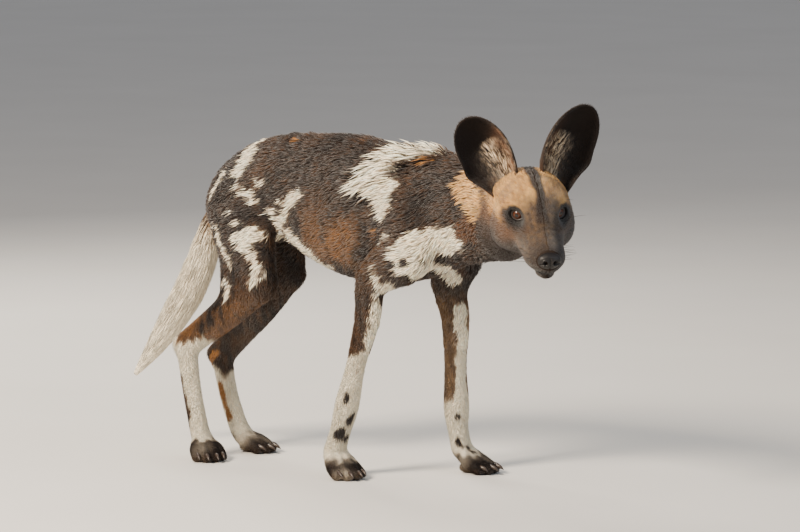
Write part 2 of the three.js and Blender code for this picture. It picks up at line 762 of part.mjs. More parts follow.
// A leg above its paw, and the paw, both out of one fine surface
function foreleg(name) {
  const { side, shoulder, elbow, shaft, paw } = FORELEGS[name];
  const ys = side > 0 ? gridLines(2, [[100, 9.6]]) : gridLines(-110, [[-2, 9.6]]);
  const upper = surface(bodyDistance, [
    gridLines(Math.min(paw[0], shaft[0]) - 34, [[shoulder[0] + 50, 10.6]]),
    ys,
    gridLines(WRIST_LEVEL - 12, [[120, 14], [elbow[2], 18], [foreRegion.high, 15]]),
  ]);
  return upper.intersect(foreWedge(side, GAP / 2)).intersect(beyond(level(WRIST_LEVEL, 1), GAP / 2));
}
function hindleg(name) {
  const { side } = HINDLEGS[name];
  const ys = side > 0 ? gridLines(2, [[86, 10.4]]) : gridLines(-92, [[-2, 10.4]]);
  const upper = surface(bodyDistance, [
    gridLines(-227, [[-150, 9.4], [-20, 13]]),
    ys,
    gridLines(WRIST_LEVEL - 12, [[110, 14], [176, 9.4], [410, 17.5]]),
  ]);
  return upper.intersect(hindWedge(side, GAP / 2)).subtract(tailBlock(-GAP / 2)).intersect(beyond(level(WRIST_LEVEL, 1), GAP / 2));
}

// Claw: a tapering hook of a few rings, its root sunk in the tip of a toe
function claw(toe, forward) {
  const root = toe.tip.clone().addScaledVector(forward, toe.radius - CLAW.sink);
  root.z += CLAW.rise;
  const stations = CLAW.shape.map(([run, drop, radius]) => {
    const place = root.clone().addScaledVector(forward, run * CLAW.length);
    return [place.x, place.y, place.z - drop * CLAW.length, radius, radius * CLAW.depth];
  });
  return loft(stations, 6, new THREE.Vector3(-forward.y, forward.x, 0));
}
function paw(shape, leg) {
  const reach = shape.size.length + 14;
  const [x, y] = leg.paw;
  const turned = new THREE.Matrix4().makeRotationZ(radians(leg.heading)).setPosition(x, y, 0);
  let solid = surface(bodyDistance, [
    gridLines(-34, [[8, 10.5], [reach, 8]]),
    gridLines(-33, [[33, 7]]),
    gridLines(-10, [[20, 6.6], [WRIST_LEVEL + 12, 10]]),
  ], turned);
  for (const toe of shape.toes) solid = solid.add(claw(toe, shape.forward));
  return solid.intersect(beyond(level(SOLE_LEVEL, 1))).intersect(beyond(level(WRIST_LEVEL, -1), GAP / 2));
}

// Where an eye sits and the way it looks
function eyePlace(side) {
  return { centre: inHead(mirrored(EYE.at, side)), looks: headWay(mirrored(EYE.looks, side)) };
}
function eyeball(side, radius) {
  const { centre } = eyePlace(side);
  const sphere = new THREE.SphereGeometry(radius, 12, 8);
  return solidOf(sphere, new THREE.Matrix4().makeTranslation(...centre));
}

// The almond opening between the lids, on the eye's front
function fissure(side) {
  const { centre, looks } = eyePlace(side);
  const up = headWay([0, 0, 1]);
  const across = new THREE.Vector3().crossVectors(up, looks).normalize();
  const upright = new THREE.Vector3().crossVectors(looks, across);
  const tilt = new THREE.Matrix4().makeRotationAxis(looks, radians(FISSURE.tilt * side));
  across.applyMatrix4(tilt);
  upright.applyMatrix4(tilt);
  const place = centre.addScaledVector(looks, EYE.radius);
  const matrix = new THREE.Matrix4().makeBasis(looks, across, upright).setPosition(place);
  matrix.scale(new THREE.Vector3(FISSURE.depth, FISSURE.halfLength, FISSURE.halfHeight));
  return solidOf(new THREE.SphereGeometry(1, 12, 6), matrix);
}

// The line of the mouth: a thin band round the muzzle from corner to corner, sunk in the lips
function mouthLine() {
  const steps = 18;
  const points = [];
  const triangles = [];
  const { corner, front, sag, height, depth, reach } = MOUTH;
  for (let i = 0; i <= steps; i += 1) {
    const t = i / steps * 2 - 1;
    const run = Math.cos(t * Math.PI / 2) ** 0.7;
    const x = corner[0] + (front[0] - corner[0]) * run;
    const y = corner[1] * Math.sin(t * Math.PI / 2);
    const z = corner[2] - sag * Math.sin(run * Math.PI) + (front[2] - corner[2]) * run;
    const out = new THREE.Vector3(Math.max(run, 0.05) * 0.9, Math.sign(t) * Math.abs(t) ** 0.6, 0).normalize();
    for (const [away, rise] of [[-depth, -0.5], [reach, -0.5], [reach, 0.5], [-depth, 0.5]]) {
      points.push(...inHead([x + out.x * away, y + out.y * away, z + rise * height]));
    }
  }
  for (let i = 0; i < steps; i += 1) {
    for (let k = 0; k < 4; k += 1) {
      const a = i * 4 + k;
      const b = i * 4 + (k + 1) % 4;
      triangles.push(a, a + 4, b, b, a + 4, b + 4);
    }
  }
  const last = steps * 4;
  triangles.push(0, 1, 2, 0, 2, 3, last, last + 2, last + 1, last, last + 3, last + 2);
  return solidFrom(points, triangles);
}

function head() {
  let solid = surface(bodyDistance, [
    gridLines(-78, [[-14, 11.4], [12, 6], [40, 9], [86, 7.4]]),
    gridLines(-64, [[-36, 11], [-16, 6.2], [16, 9], [36, 6.2], [64, 11]]),
    gridLines(-82, [[-60, 10], [-36, 6.8], [-12, 8.4], [12, 6], [48, 11]]),
  ], HEAD);
  solid = solid.intersect(beyond(headBack, GAP / 2)).subtract(mouthLine());
  for (const side of [1, -1]) solid = solid.subtract(eyeball(side, EYE.radius + GAP)).subtract(fissure(side));
  return solid;
}

// Nose pad with two nostrils, standing clear of the head by the gap
function nose(headSolid) {
  const pad = new THREE.Matrix4().makeBasis(...HEAD_AXES).setPosition(inHead(NOSE.at));
  pad.scale(vec(NOSE.radii));
  let solid = solidOf(new THREE.SphereGeometry(1, 12, 8), pad);
  for (const side of [1, -1]) {
    const place = new THREE.Matrix4().makeBasis(...HEAD_AXES).setPosition(inHead(mirrored(NOSTRIL.at, side)));
    place.scale(vec(NOSTRIL.radii));
    solid = solid.subtract(solidOf(new THREE.SphereGeometry(1, 8, 5), place));
  }
  return clearOf(solid, [headSolid], headWay([1, 0, 0]));
}

// Cut a piece by what carries it, and by the same a gap further out
function clearOf(piece, carriers, way) {
  const shift = way.clone().multiplyScalar(GAP + ROOT_MARGIN);
  let solid = piece;
  for (const carrier of carriers) {
    solid = solid.subtract(carrier).subtract(carrier.translate(shift.x, shift.y, shift.z));
  }
  return largest(solid);
}

// Ear: a cup whose two faces stand a thickness apart, rooted in the head
function ear(name, carriers) {
  const { root, axis, faces, length, half } = EARS[name];
  const along = headWay(axis);
  const front = headWay(faces);
  front.addScaledVector(along, -front.dot(along)).normalize();
  const across = new THREE.Vector3().crossVectors(along, front);
  const rows = 9;
  const columns = 7;
  const rootPlace = inHead(root);
  const outer = name === 'right' ? -1 : 1;
  const middle = [];
  for (let i = 0; i < rows; i += 1) {
    const u = 1 - (1 - i / (rows - 1)) ** 1.6;
    const rise = EAR_ROOT_SHARE + (1 - EAR_ROOT_SHARE) * Math.sin(Math.PI / 2 * u / EAR_WIDEST);
    const fall = Math.sqrt(Math.max(0, 1 - ((u - EAR_WIDEST) / (1 - EAR_WIDEST)) ** 2));
    const width = Math.max(half * (u < EAR_WIDEST ? rise : fall), 1.5);
    const pouch = EAR_POUCH.out * Math.exp(-(((u - EAR_POUCH.at) / EAR_POUCH.spread) ** 2));
    const bend = radians(112 - 58 * u ** 0.7);
    const radius = width / Math.sin(Math.min(bend, Math.PI / 2));
    const row = [];
    for (let j = 0; j < columns; j += 1) {
      const share = 2 * j / (columns - 1) - 1;
      const turn = bend * share;
      const out = radius * Math.sin(turn) + outer * pouch * Math.max(0, share * outer) ** 2;
      const back = radius * (Math.cos(turn) - Math.max(Math.cos(bend), 0));
      row.push(rootPlace.clone()
        .addScaledVector(along, length * u)
        .addScaledVector(across, out)
        .addScaledVector(front, 10 * u * u - 4 - back));
    }
    middle.push(row);
  }
  return clearOf(shell(middle, EAR_THICKNESS), carriers, along);
}

// A sheet of points given a thickness as one closed body
function shell(middle, thickness) {
  const rows = middle.length;
  const columns = middle[0].length;
  const points = [];
  const clampTo = (value, top) => Math.min(Math.max(value, 0), top - 1);
  for (const way of [0.5, -0.5]) {
    for (let i = 0; i < rows; i += 1) {
      for (let j = 0; j < columns; j += 1) {
        const up = middle[clampTo(i + 1, rows)][j].clone().sub(middle[clampTo(i - 1, rows)][j]);
        const over = middle[i][clampTo(j + 1, columns)].clone().sub(middle[i][clampTo(j - 1, columns)]);
        const normal = up.cross(over).normalize();
        points.push(...middle[i][j].clone().addScaledVector(normal, way * thickness));
      }
    }
  }
  const triangles = [];
  const count = rows * columns;
  const quad = (a, b, c, d) => triangles.push(a, b, c, a, c, d);
  for (let i = 0; i < rows - 1; i += 1) {
    for (let j = 0; j < columns - 1; j += 1) {
      const a = i * columns + j;
      quad(a, a + columns, a + columns + 1, a + 1);
      quad(count + a, count + a + 1, count + a + columns + 1, count + a + columns);
    }
  }
  const rim = [];
  for (let i = 0; i < rows; i += 1) rim.push(i * columns);
  for (let j = 1; j < columns; j += 1) rim.push((rows - 1) * columns + j);
  for (let i = rows - 2; i >= 0; i -= 1) rim.push(i * columns + columns - 1);
  for (let j = columns - 2; j > 0; j -= 1) rim.push(j);
  rim.forEach((a, n) => {
    const b = rim[(n + 1) % rim.length];
    quad(a, count + a, count + b, b);
  });
  return solidFrom(points, triangles);
}

// A solid as a named mesh of its own colour
function node(name, solid, finish) {
  const { vertProperties, triVerts } = largest(solid).getMesh();
  const raw = new THREE.BufferGeometry();
  raw.setAttribute('position', new THREE.BufferAttribute(vertProperties, 3));
  raw.setIndex(new THREE.BufferAttribute(triVerts, 1));
  const { points, triangles } = welded(raw, SLIVER);
  const geometry = new THREE.BufferGeometry();
  geometry.setAttribute('position', new THREE.BufferAttribute(points, 3));
  geometry.setIndex(triangles);
  geometry.computeVertexNormals();
  const [color, roughness] = finish;
  const mesh = new THREE.Mesh(geometry, new THREE.MeshStandardMaterial({ color, roughness, metalness: 0 }));
  mesh.name = name;
  return mesh;
}

const dog = new THREE.Group();
const headSolid = largest(head());
const neckSolid = largest(neck());
dog.add(node('torso', torso(), COLOURS.darkCoat));
dog.add(node('neck', neckSolid, COLOURS.darkCoat));
dog.add(node('head', headSolid, COLOURS.tanCoat));
dog.add(node('nose', nose(headSolid), COLOURS.nose));
dog.add(node('tail', tail(), COLOURS.paleCoat));
for (const [name, side] of [['right', -1], ['left', 1]]) {
  dog.add(node(`ear_${name}`, ear(name, [headSolid, neckSolid]), COLOURS.ear));
  dog.add(node(`eye_${name}`, eyeball(side, EYE.radius), COLOURS.eye));
  dog.add(node(`foreleg_${name}`, foreleg(name), COLOURS.darkCoat));
  dog.add(node(`hindleg_${name}`, hindleg(name), COLOURS.darkCoat));
  dog.add(node(`forepaw_${name}`, paw(forelegs[name].paw, FORELEGS[name]), COLOURS.paleCoat));
  dog.add(node(`hindpaw_${name}`, paw(hindlegs[name].paw, HINDLEGS[name]), COLOURS.paleCoat));
}

// The origin is the middle of the footprint of the whole model, on the floor
const bounds = new THREE.Box3().setFromObject(dog);
const middle = bounds.getCenter(new THREE.Vector3());
dog.position.set(-middle.x, -middle.y, -bounds.min.z);

export default dog;
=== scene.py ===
import functools
import math

import bpy
import numpy as np
from mathutils import Matrix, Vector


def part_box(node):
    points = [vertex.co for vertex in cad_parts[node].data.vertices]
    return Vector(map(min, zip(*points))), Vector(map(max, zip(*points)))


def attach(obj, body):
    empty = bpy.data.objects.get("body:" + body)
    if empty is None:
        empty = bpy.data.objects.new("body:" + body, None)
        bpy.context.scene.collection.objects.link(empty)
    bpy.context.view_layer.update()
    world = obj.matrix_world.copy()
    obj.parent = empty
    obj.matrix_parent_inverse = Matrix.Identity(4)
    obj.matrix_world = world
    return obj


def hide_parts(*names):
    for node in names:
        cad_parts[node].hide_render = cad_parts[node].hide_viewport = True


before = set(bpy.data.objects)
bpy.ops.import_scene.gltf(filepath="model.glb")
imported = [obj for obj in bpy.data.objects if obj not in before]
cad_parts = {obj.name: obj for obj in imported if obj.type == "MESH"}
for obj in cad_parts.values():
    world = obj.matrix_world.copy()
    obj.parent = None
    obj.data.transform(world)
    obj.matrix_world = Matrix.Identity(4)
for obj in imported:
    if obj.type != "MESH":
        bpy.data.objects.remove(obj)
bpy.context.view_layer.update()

bl_info = {
    "name": "Young African Wild Dog",
    "version": (1, 0, 0),
    "blender": (4, 5, 0),
    "location": "View3D > Sidebar > Wild Dog",
    "description": "Builds the skin, coat and features of a standing half-grown wild dog",
    "category": "Add Mesh",
}

# Form of the body: the same named sizes as the solids, in millimetres

EYE_MIDDLE = np.array([409.0, -90.0, 368.0])
HEAD_TURN, HEAD_PITCH, HEAD_ROLL = -44.0, -19.0, 2.0

# Trunk and neck stations: x, top, bottom, half width, y
TRUNK = [
    (-158, 346, 298, 14, 0), (-144, 376, 284, 31, 0), (-116, 405, 282, 44, 0), (-78, 430, 290, 49, 0),
    (-30, 443, 293, 49, 0), (18, 446, 270, 54, 0), (62, 446, 254, 60, 0), (108, 438, 250, 61, 0),
    (152, 436, 254, 55, 0), (196, 434, 268, 48, -2), (240, 428, 282, 44, -8), (285, 418, 290, 42, -22),
    (330, 408, 298, 42, -42),
]

# Head stations in the head's own frame: forward, top, bottom, half width
SKULL = [
    (-88, 16, -48, 30), (-66, 31, -58, 42), (-42, 38, -64, 50), (-18, 35, -64, 46), (4, 22, -62, 35),
    (22, 4, -60, 29), (44, -9, -58, 25.5), (57, -14, -57, 22), (65, -19, -54, 17),
]
CHEEK = ((-28, 31, -32), (30, 22, 26), 14)
BROW = ((-12, 25, 14), (15, 12, 7), 9)
LIP_PAD = ((46, 15, -38), (22, 11, 11), 6)
CHIN = ((52, 0, -58), (17, 12, 5), 6)
EYE_AT, EYE_RADIUS, EYE_LOOKS = (-2, 23.6, 0), 9.3, (0.82, 0.56, 0.1)
ORBIT_REACH, ORBIT_RADIUS, ORBIT_BLEND = 24, 13, 7
LID_THICKNESS, LID_BLEND = 2.3, 4

# Legs: centre, half width across and half depth along at each joint, and the paw's heading
FORELEGS = {
    "right": dict(
        side=-1, heading=-24,
        upper=[(126, -31, 398, 17, 34), (182, -46, 302, 27, 34), (131, -57, 264, 22, 23)],
        lower=[
            (182, -46, 302, 27, 34), (131, -57, 264, 22, 23), (124, -61, 210, 16, 19),
            (108, -64, 150, 13, 14),
            (95, -66, 96, 16.5, 17), (86, -68, 62, 15, 14.5), (77, -69, 34, 16, 15),
        ],
    ),
    "left": dict(
        side=1, heading=4,
        upper=[(128, 31, 398, 17, 34), (196, 46, 304, 27, 34), (174, 55, 250, 21, 26)],
        lower=[
            (196, 46, 304, 27, 34), (174, 55, 250, 21, 26), (182, 57, 205, 17.5, 21), (181, 59, 140, 15, 16),
            (182, 60, 86, 17.5, 18), (184, 60, 58, 15, 14.5), (190, 60, 33, 16, 14),
        ],
    ),
}
HINDLEGS = {
    "right": dict(
        side=-1, heading=-38,
        thigh=[(-106, -32, 350, 30, 46), (-84, -42, 296, 29, 42), (-62, -50, 244, 25, 28)],
        rear=[(-132, -28, 330, 20, 24), (-110, -38, 272, 18, 22), (-108, -47, 204, 13, 18)],
        crus=[
            (-62, -50, 244, 25, 28), (-108, -47, 204, 17, 22),
            (-165, -43, 160, 11, 15), (-186, -42, 144, 14, 15),
        ],
        heel=[(-120, -47, 210, 9, 10), (-198, -41, 154, 10, 10)],
        shank=[
            (-186, -42, 144, 14, 15), (-178, -42, 92, 13, 13.5),
            (-166, -42, 40, 14, 13.5), (-160, -42, 26, 16, 13),
        ],
    ),
    "left": dict(
        side=1, heading=6,
        thigh=[(-106, 32, 350, 30, 46), (-94, 42, 298, 29, 42), (-88, 49, 248, 25, 28)],
        rear=[(-132, 28, 330, 20, 24), (-120, 38, 272, 18, 22), (-126, 46, 198, 13, 18)],
        crus=[
            (-88, 49, 248, 25, 28), (-126, 46, 198, 17, 24),
            (-174, 43, 140, 11, 15), (-190, 42, 122, 14, 15),
        ],
        heel=[(-138, 46, 204, 9, 10), (-203, 41, 132, 10, 10)],
        shank=[
            (-190, 42, 122, 14, 15), (-180, 42, 78, 13, 13.5),
            (-165, 42, 38, 14, 13.5), (-157, 42, 25, 16, 13),
        ],
    ),
}
# Paws: length forward and scale, then each toe's place across, share of the length and radius
FRONT_PAW, HIND_PAW = (54, 1.0), (50, 0.96)
TOES = [(-17, 0.8, 8.6), (-6.5, 1.0, 9.0), (6.5, 1.0, 9.0), (17, 0.8, 8.6)]
# Links of a toe: share of the spread, run forward, height, then shares of the radius across and along
TOE_HEEL = (0.55, 4, 6, 1.05, 1.1)
TOE_KNUCKLE = (0.95, 0.48, 15, 1.02, 1.05)
TOE_TIP = (1.05, 0.84, 6.6, 0.92, 0.9)
PAD_HEIGHT, PAD_RUN, PAD_RADII, PAW_REACH = 6.8, 0.28, (17, 16, 9), 60

# Tail stations: x, z, half width, half depth out to the tips of its hair
TAIL = [
    (-152, 346, 15, 17), (-166, 326, 13, 14), (-179, 300, 16, 18), (-192, 262, 21, 23), (-214, 218, 22, 24),
    (-243, 176, 19, 21), (-272, 138, 13, 14), (-295, 111, 7, 7), (-306, 98, 3, 3),
]

# Widths over which parts run into one another
SHOULDER_BLEND, THIGH_BLEND, HAUNCH_BLEND, LEG_BLEND = 22, 14, 18, 10
SHANK_BLEND, HEEL_BLEND, PAW_BLEND, TOE_BLEND, PAD_BLEND = 6, 15, 5, 3.2, 5
NECK_BLEND, TAIL_BLEND = 22, 10

# How far round a limb its distance is worked out, and what counts as far off
FIELD_MARGIN, FAR = 26.0, 400.0
TINY = 1e-9
MM = 1000.0


def unit(v):
    """A vector, or rows of them, of length one."""
    v = np.asarray(v, float)
    return v / np.maximum(np.linalg.norm(v, axis=-1, keepdims=True), TINY)


def head_axes():
    """The head's forward, left and up."""
    turn, pitch, roll = (math.radians(a) for a in (HEAD_TURN, HEAD_PITCH, HEAD_ROLL))
    forward = np.array([math.cos(turn) * math.cos(pitch), math.sin(turn) * math.cos(pitch), math.sin(pitch)])
    level = np.array([-math.sin(turn), math.cos(turn), 0.0])
    upright = np.cross(forward, level)
    left = level * math.cos(roll) + upright * math.sin(roll)
    return np.array([forward, left, upright * math.cos(roll) - level * math.sin(roll)])


HEAD = head_axes()


def in_head(x, y, z):
    """A place in the head's frame as a place in the body's."""
    return EYE_MIDDLE + np.array([x, y, z], float) @ HEAD


def to_head(points):
    """Places in the body's frame as places in the head's."""
    return (points - EYE_MIDDLE) @ HEAD.T


def mirrored(place, side):
    """A place of the left side on either side of the middle."""
    return place[0], place[1] * side, place[2]


def smooth_rows(rows, steps):
    """Rows of numbers run through a smooth curve, with a few steps between each two."""
    rows = np.asarray(rows, float)
    ends = np.vstack([2 * rows[0] - rows[1], rows, 2 * rows[-1] - rows[-2]])
    out = []
    for i in range(len(rows) - 1):
        a, b, c, d = ends[i:i + 4]
        for t in np.arange(steps) / steps:
            bend = (2 * a - 5 * b + 4 * c - d) * t**2 + (3 * b - a - 3 * c + d) * t**3
            out.append(0.5 * (2 * b + (c - a) * t + bend))
    out.append(rows[-1])
    return np.array(out)


def oval(u, v, w, a, b, c):
    """Distance to an oval of three radii, good near its surface."""
    near = np.sqrt((u / a)**2 + (v / b)**2 + (w / c)**2)
    slope = np.sqrt((u / a**2)**2 + (v / b**2)**2 + (w / c**2)**2) + TINY
    return near * (near - 1) / slope


class Limb:
    """A row of tapering oval links: x, y, z, half width across, half depth."""

    def __init__(self, rows, across=(0, 1, 0), steps=3):
        stations = smooth_rows(rows, steps) if len(rows) > 2 and steps > 1 else np.asarray(rows, float)
        self.stations = stations
        self.across = np.asarray(across, float)
        reach = stations[:, 3:].max() + FIELD_MARGIN
        self.low = stations[:, :3].min(0) - reach
        self.high = stations[:, :3].max(0) + reach

    def distance(self, points):
        """Distance of each point to the limb's surface, large where it is far off."""
        out = np.full(len(points), FAR)
        near = ((points > self.low) & (points < self.high)).all(1)
        if near.any():
            out[near] = self.near_distance(points[near])
        return out

    def near_distance(self, p):
        """Distance of points near the limb to its surface."""
        best = np.full(len(p), FAR)
        for a, b in zip(self.stations[:-1], self.stations[1:]):
            along = b[:3] - a[:3]
            length = np.linalg.norm(along)
            along = along / length
            side = unit(self.across - along * (self.across @ along))
            depth = np.cross(along, side)
            q = p - a[:3]
            run = q @ along
            t = np.clip(run / length, 0, 1)
            width = a[3] + t * (b[3] - a[3])
            thick = a[4] + t * (b[4] - a[4])
            link = oval(q @ side, q @ depth, run - t * length, width, thick, np.minimum(width, thick))
            best = np.minimum(best, link)
        return best


def ball(points, centre, radii, axes=np.eye(3)):
    """Distance to an oval lump on three axes."""
    q = (points - centre) @ np.asarray(axes).T
    a, b, c = np.ones(3) * radii
    return oval(q[:, 0], q[:, 1], q[:, 2], a, b, c)


def blend(a, b, width):
    """Two surfaces run into one another over the width of a blend."""
    share = np.clip(0.5 + 0.5 * (b - a) / width, 0, 1)
    return b * (1 - share) + a * share - width * share * (1 - share)


trunk_limb = Limb([(x, y, (top + low) / 2, half, (top - low) / 2) for x, top, low, half, y in TRUNK])
skull_limb = Limb(
    [(*in_head(x, 0, (top + low) / 2), half, (top - low) / 2) for x, top, low, half in SKULL], HEAD[1],
)


def head_field(p):
    """The head: skull, then cheeks, brows, lip pads and chin, hollowed at the eyes."""
    out = np.full(len(p), FAR)
    near = ((p > skull_limb.low) & (p < skull_limb.high)).all(1)
    if not near.any():
        return out
    q = p[near]
    d = skull_limb.near_distance(q)
    d = blend(d, ball(q, in_head(*CHIN[0]), CHIN[1], HEAD), CHIN[2])
    for side in (1, -1):
        for at, radii, width in (CHEEK, BROW, LIP_PAD):
            d = blend(d, ball(q, in_head(*mirrored(at, side)), radii, HEAD), width)
    for side in (1, -1):
        eye = in_head(*mirrored(EYE_AT, side))
        before = eye + unit(mirrored(EYE_LOOKS, side)) @ HEAD * ORBIT_REACH
        d = -blend(-d, ball(q, before, ORBIT_RADIUS), ORBIT_BLEND)
        d = blend(d, ball(q, eye, EYE_RADIUS + LID_THICKNESS), LID_BLEND)
    out[near] = d
    return out


def paw_parts(leg, size):
    """The four toes' limbs and the pad of one paw."""
    length, scale = size
    turn = math.radians(leg["heading"])
    forward = np.array([math.cos(turn), math.sin(turn), 0])
    left = np.array([-math.sin(turn), math.cos(turn), 0])
    base = np.array((leg.get("lower") or leg["shank"])[-1][:3], float)
    toes, tips = [], []
    for out, reach, radius in TOES:
        r = radius * scale

        def at(spread, run, height):
            place = base + left * out * scale * spread + forward * run
            return (place[0], place[1], height)

        spread, run, drop, across, along = TOE_HEEL
        links = [(*at(spread, run, base[2] - drop), r * across, r * along)]
        for spread, run, height, across, along in (TOE_KNUCKLE, TOE_TIP):
            links.append((*at(spread, length * reach * run, height * scale), r * across, r * along))
        toes.append(Limb(links, left, 2))
        tips.append((np.array(links[-1][:3]), r))
    middle = base + forward * length * PAD_RUN
    middle[2] = PAD_HEIGHT
    return dict(toes=toes, tips=tips, pad=middle, forward=forward, left=left, scale=scale)


def paw_field(p, paw):
    """A paw: toes run into one another and into the pad."""
    d = np.full(len(p), FAR)
    for toe in paw["toes"]:
        d = blend(d, toe.distance(p), TOE_BLEND * paw["scale"])
    near = np.abs(p - paw["pad"]).max(1) < PAW_REACH
    if near.any():
        axes = np.array([paw["forward"], paw["left"], (0, 0, 1)])
        radii = np.array([PAD_RADII[0] * paw["scale"], PAD_RADII[1] * paw["scale"], PAD_RADII[2]])
        d[near] = blend(d[near], ball(p[near], paw["pad"], radii, axes), PAD_BLEND)
    return d


forelegs = {
    name: dict(upper=Limb(leg["upper"]), lower=Limb(leg["lower"]), paw=paw_parts(leg, FRONT_PAW))
    for name, leg in FORELEGS.items()
}
hindlegs = {
    name: dict(
        {part: Limb(leg[part]) for part in ("thigh", "rear", "crus", "heel", "shank")},
        paw=paw_parts(leg, HIND_PAW),
    )
    for name, leg in HINDLEGS.items()
}
tail_limb = Limb([(x, 0, z, half, deep) for x, z, half, deep in TAIL], steps=2)


def body_field(p, tail=tail_limb):
    """The whole body as one smooth surface, negative inside."""
    d = trunk_limb.distance(p)
    for name in ("right", "left"):
        hind = hindlegs[name]
        d = blend(d, forelegs[name]["upper"].distance(p), SHOULDER_BLEND)
        d = blend(d, blend(hind["thigh"].distance(p), hind["rear"].distance(p), THIGH_BLEND), HAUNCH_BLEND)
    for name in ("right", "left"):
        fore, hind = forelegs[name], hindlegs[name]
        d = blend(d, blend(fore["lower"].distance(p), paw_field(p, fore["paw"]), PAW_BLEND), LEG_BLEND)
        low = blend(hind["crus"].distance(p), hind["shank"].distance(p), SHANK_BLEND)
        low = blend(low, hind["heel"].distance(p), HEEL_BLEND)
        d = blend(d, blend(low, paw_field(p, hind["paw"]), PAW_BLEND), LEG_BLEND)
    d = blend(d, head_field(p), NECK_BLEND)
    return blend(d, tail.distance(p), TAIL_BLEND)


# The frame puts the middle of the body's box at the origin, so the eyes give the shift between the two
def frame_shift():
    """From the body's own frame to the model's, in millimetres."""
    middles = [np.mean(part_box(f"eye_{name}"), axis=0) * MM for name in ("right", "left")]
    own = [in_head(*mirrored(EYE_AT, side)) for side in (-1, 1)]
    shift = np.mean(middles, axis=0) - np.mean(own, axis=0)
    return np.array([shift[0], shift[1], 0.0])


SHIFT = frame_shift()

# Skin: how far it lies inside the solids, and the grid that it is worked out on
BODY_DEPTH, LEG_DEPTH, FACE_DEPTH = 4.2, 1.6, 0.9
LEG_HEIGHTS, FOOT_HEIGHTS = (120, 285), (20, 50)
HEAD_STARTS, NECK_ENDS, HEAD_REACH = (-100, -52), (285, 330), 130
TAIL_CORE_SHARE = 0.45
TAIL_CORE_SHARES = (1, 0.95, 0.72, TAIL_CORE_SHARE, TAIL_CORE_SHARE, 0.42, 0.4, 0.4)
GRID_X = (-232.3, [(330, 3.7), (476, 1.6)])
GRID_Y = (-152.7, [(-30, 1.65), (108, 3.6)])
GRID_Z = (-6.1, [(298, 3.6), (402, 1.6), (456, 3.6)])
ROUGH_STRIDE, ROUGH_REACH = 4, 15.0
EYE_GAP = 0.25
FISSURE_LENGTH, FISSURE_HEIGHT, FISSURE_TILT = 8.2, 5.4, 14.0
OPENING_DEPTH, OPENING_MORE = 9, 0.8
MOUTH_CORNER, MOUTH_FRONT = (12, 28, -43), (74, 0, -48.5)
MOUTH_SAG, MOUTH_HALF, MOUTH_DEPTH = 3.0, 0.9, 3.2

# Ears: root, axis, the way the cup faces, length and half width, in the head's frame
EARS = {
    "right": dict(
        root=(-45, -31, 10), axis=(-0.36, -0.46, 0.81), faces=(0.8, -0.3, 0.3), length=108, half=33,
    ),
    "left": dict(
        root=(-45, 31, 8), axis=(-0.15, 0.33, 0.93), faces=(0.85, 0.25, 0.2), length=119, half=34,
    ),
}
EAR_WIDEST, EAR_ROOT_SHARE, EAR_THICKNESS = 0.56, 0.5, 2.2
EAR_POUCH_AT, EAR_POUCH_SPREAD, EAR_POUCH_OUT = 0.36, 0.12, 5.0
EAR_ROWS, EAR_COLUMNS, EAR_CROWDING = 56, 50, 1.6
EAR_BEND, EAR_OPENING, EAR_OPENING_CURVE = 112, 58, 0.7
EAR_LEAN, EAR_SINK, EAR_LEAST = 10, 4, 1.5
EAR_SIDE_TAPER, EAR_TIP_TAPER, EAR_TIP_LEAST, EAR_EDGE_LEAST = 0.06, 0.03, 0.15, 0.02
EAR_LAYERS, EAR_HAIR_LENGTH, EAR_TUFT_LENGTH, EAR_RIM_LENGTH = 3.0, 3.4, 17.0, 3.0
EAR_SPACING, EAR_LIFT, EAR_LONG_LIFT = 3.6, 0.16, 0.3
EAR_TUFT_TO, EAR_TUFT_MIDDLE, EAR_TUFT_SPREAD = (0.66, 0.42), 0.2, 0.45

NOSE_AT, NOSE_RADII = (75.5, 0, -30.5), (9.5, 15, 11.5)
GROOVE_HALF, GROOVE_DEPTH, NOSTRIL_AT, NOSTRIL_RADII = 0.9, 1.1, (7.6, 6.4, -0.6), (6, 3.0, 3.2)
NOSTRIL_SLIT, NOSTRIL_DEPTH, SLIT_DEPTH, NOSTRIL_RIM = [(6.5, 7.5, -1.5), (4.5, 12.5, -3.6)], 4.6, 2.2, 0.7
CLAW_LENGTH, CLAW_SINK, CLAW_RISE = 12.0, 6.0, 4.0
CLAW_DEEPER, CLAW_POINT, CLAW_CORNERS = 1.2, 0.2, 14
CLAW_SHAPE = [
    (0, 0, 2.5), (0.25, 0.02, 2.4), (0.5, 0.06, 2.2), (0.7, 0.14, 1.7), (0.85, 0.24, 1.2), (1, 0.42, 0.3),
]

# Eyeballs: sizes in millimetres, and the lids' section from the opening's edge outward as a share of the
# opening's size and a height over the eyeball
IRIS_RADIUS, PUPIL_RADIUS, CORNEA_RISE, CORNEA_MARGIN = 5.9, 2.3, 0.7, 0.6
IRIS_EDGE, PUPIL_EDGE, IRIS_RING, RING_SHARE = 0.3, 0.25, (0.9, 0.2), 0.85
EYE_ROWS, EYE_COLUMNS, NOSE_ROWS, NOSE_COLUMNS = 72, 96, 110, 150
LID_SECTION = [
    (0.93, -0.3), (0.95, 0.5), (0.98, 1.3), (1.03, 1.9), (1.1, 2.15), (1.18, 1.95), (1.26, 1.75),
    (1.36, 1.95), (1.48, 2.1), (1.62, 1.7), (1.8, 0.6), (1.95, -0.8),
]
LID_CORNERS, LID_SHARPNESS, LOWER_LID_SHARE, LID_SPREAD = 120, 1.25, 0.92, 1.05

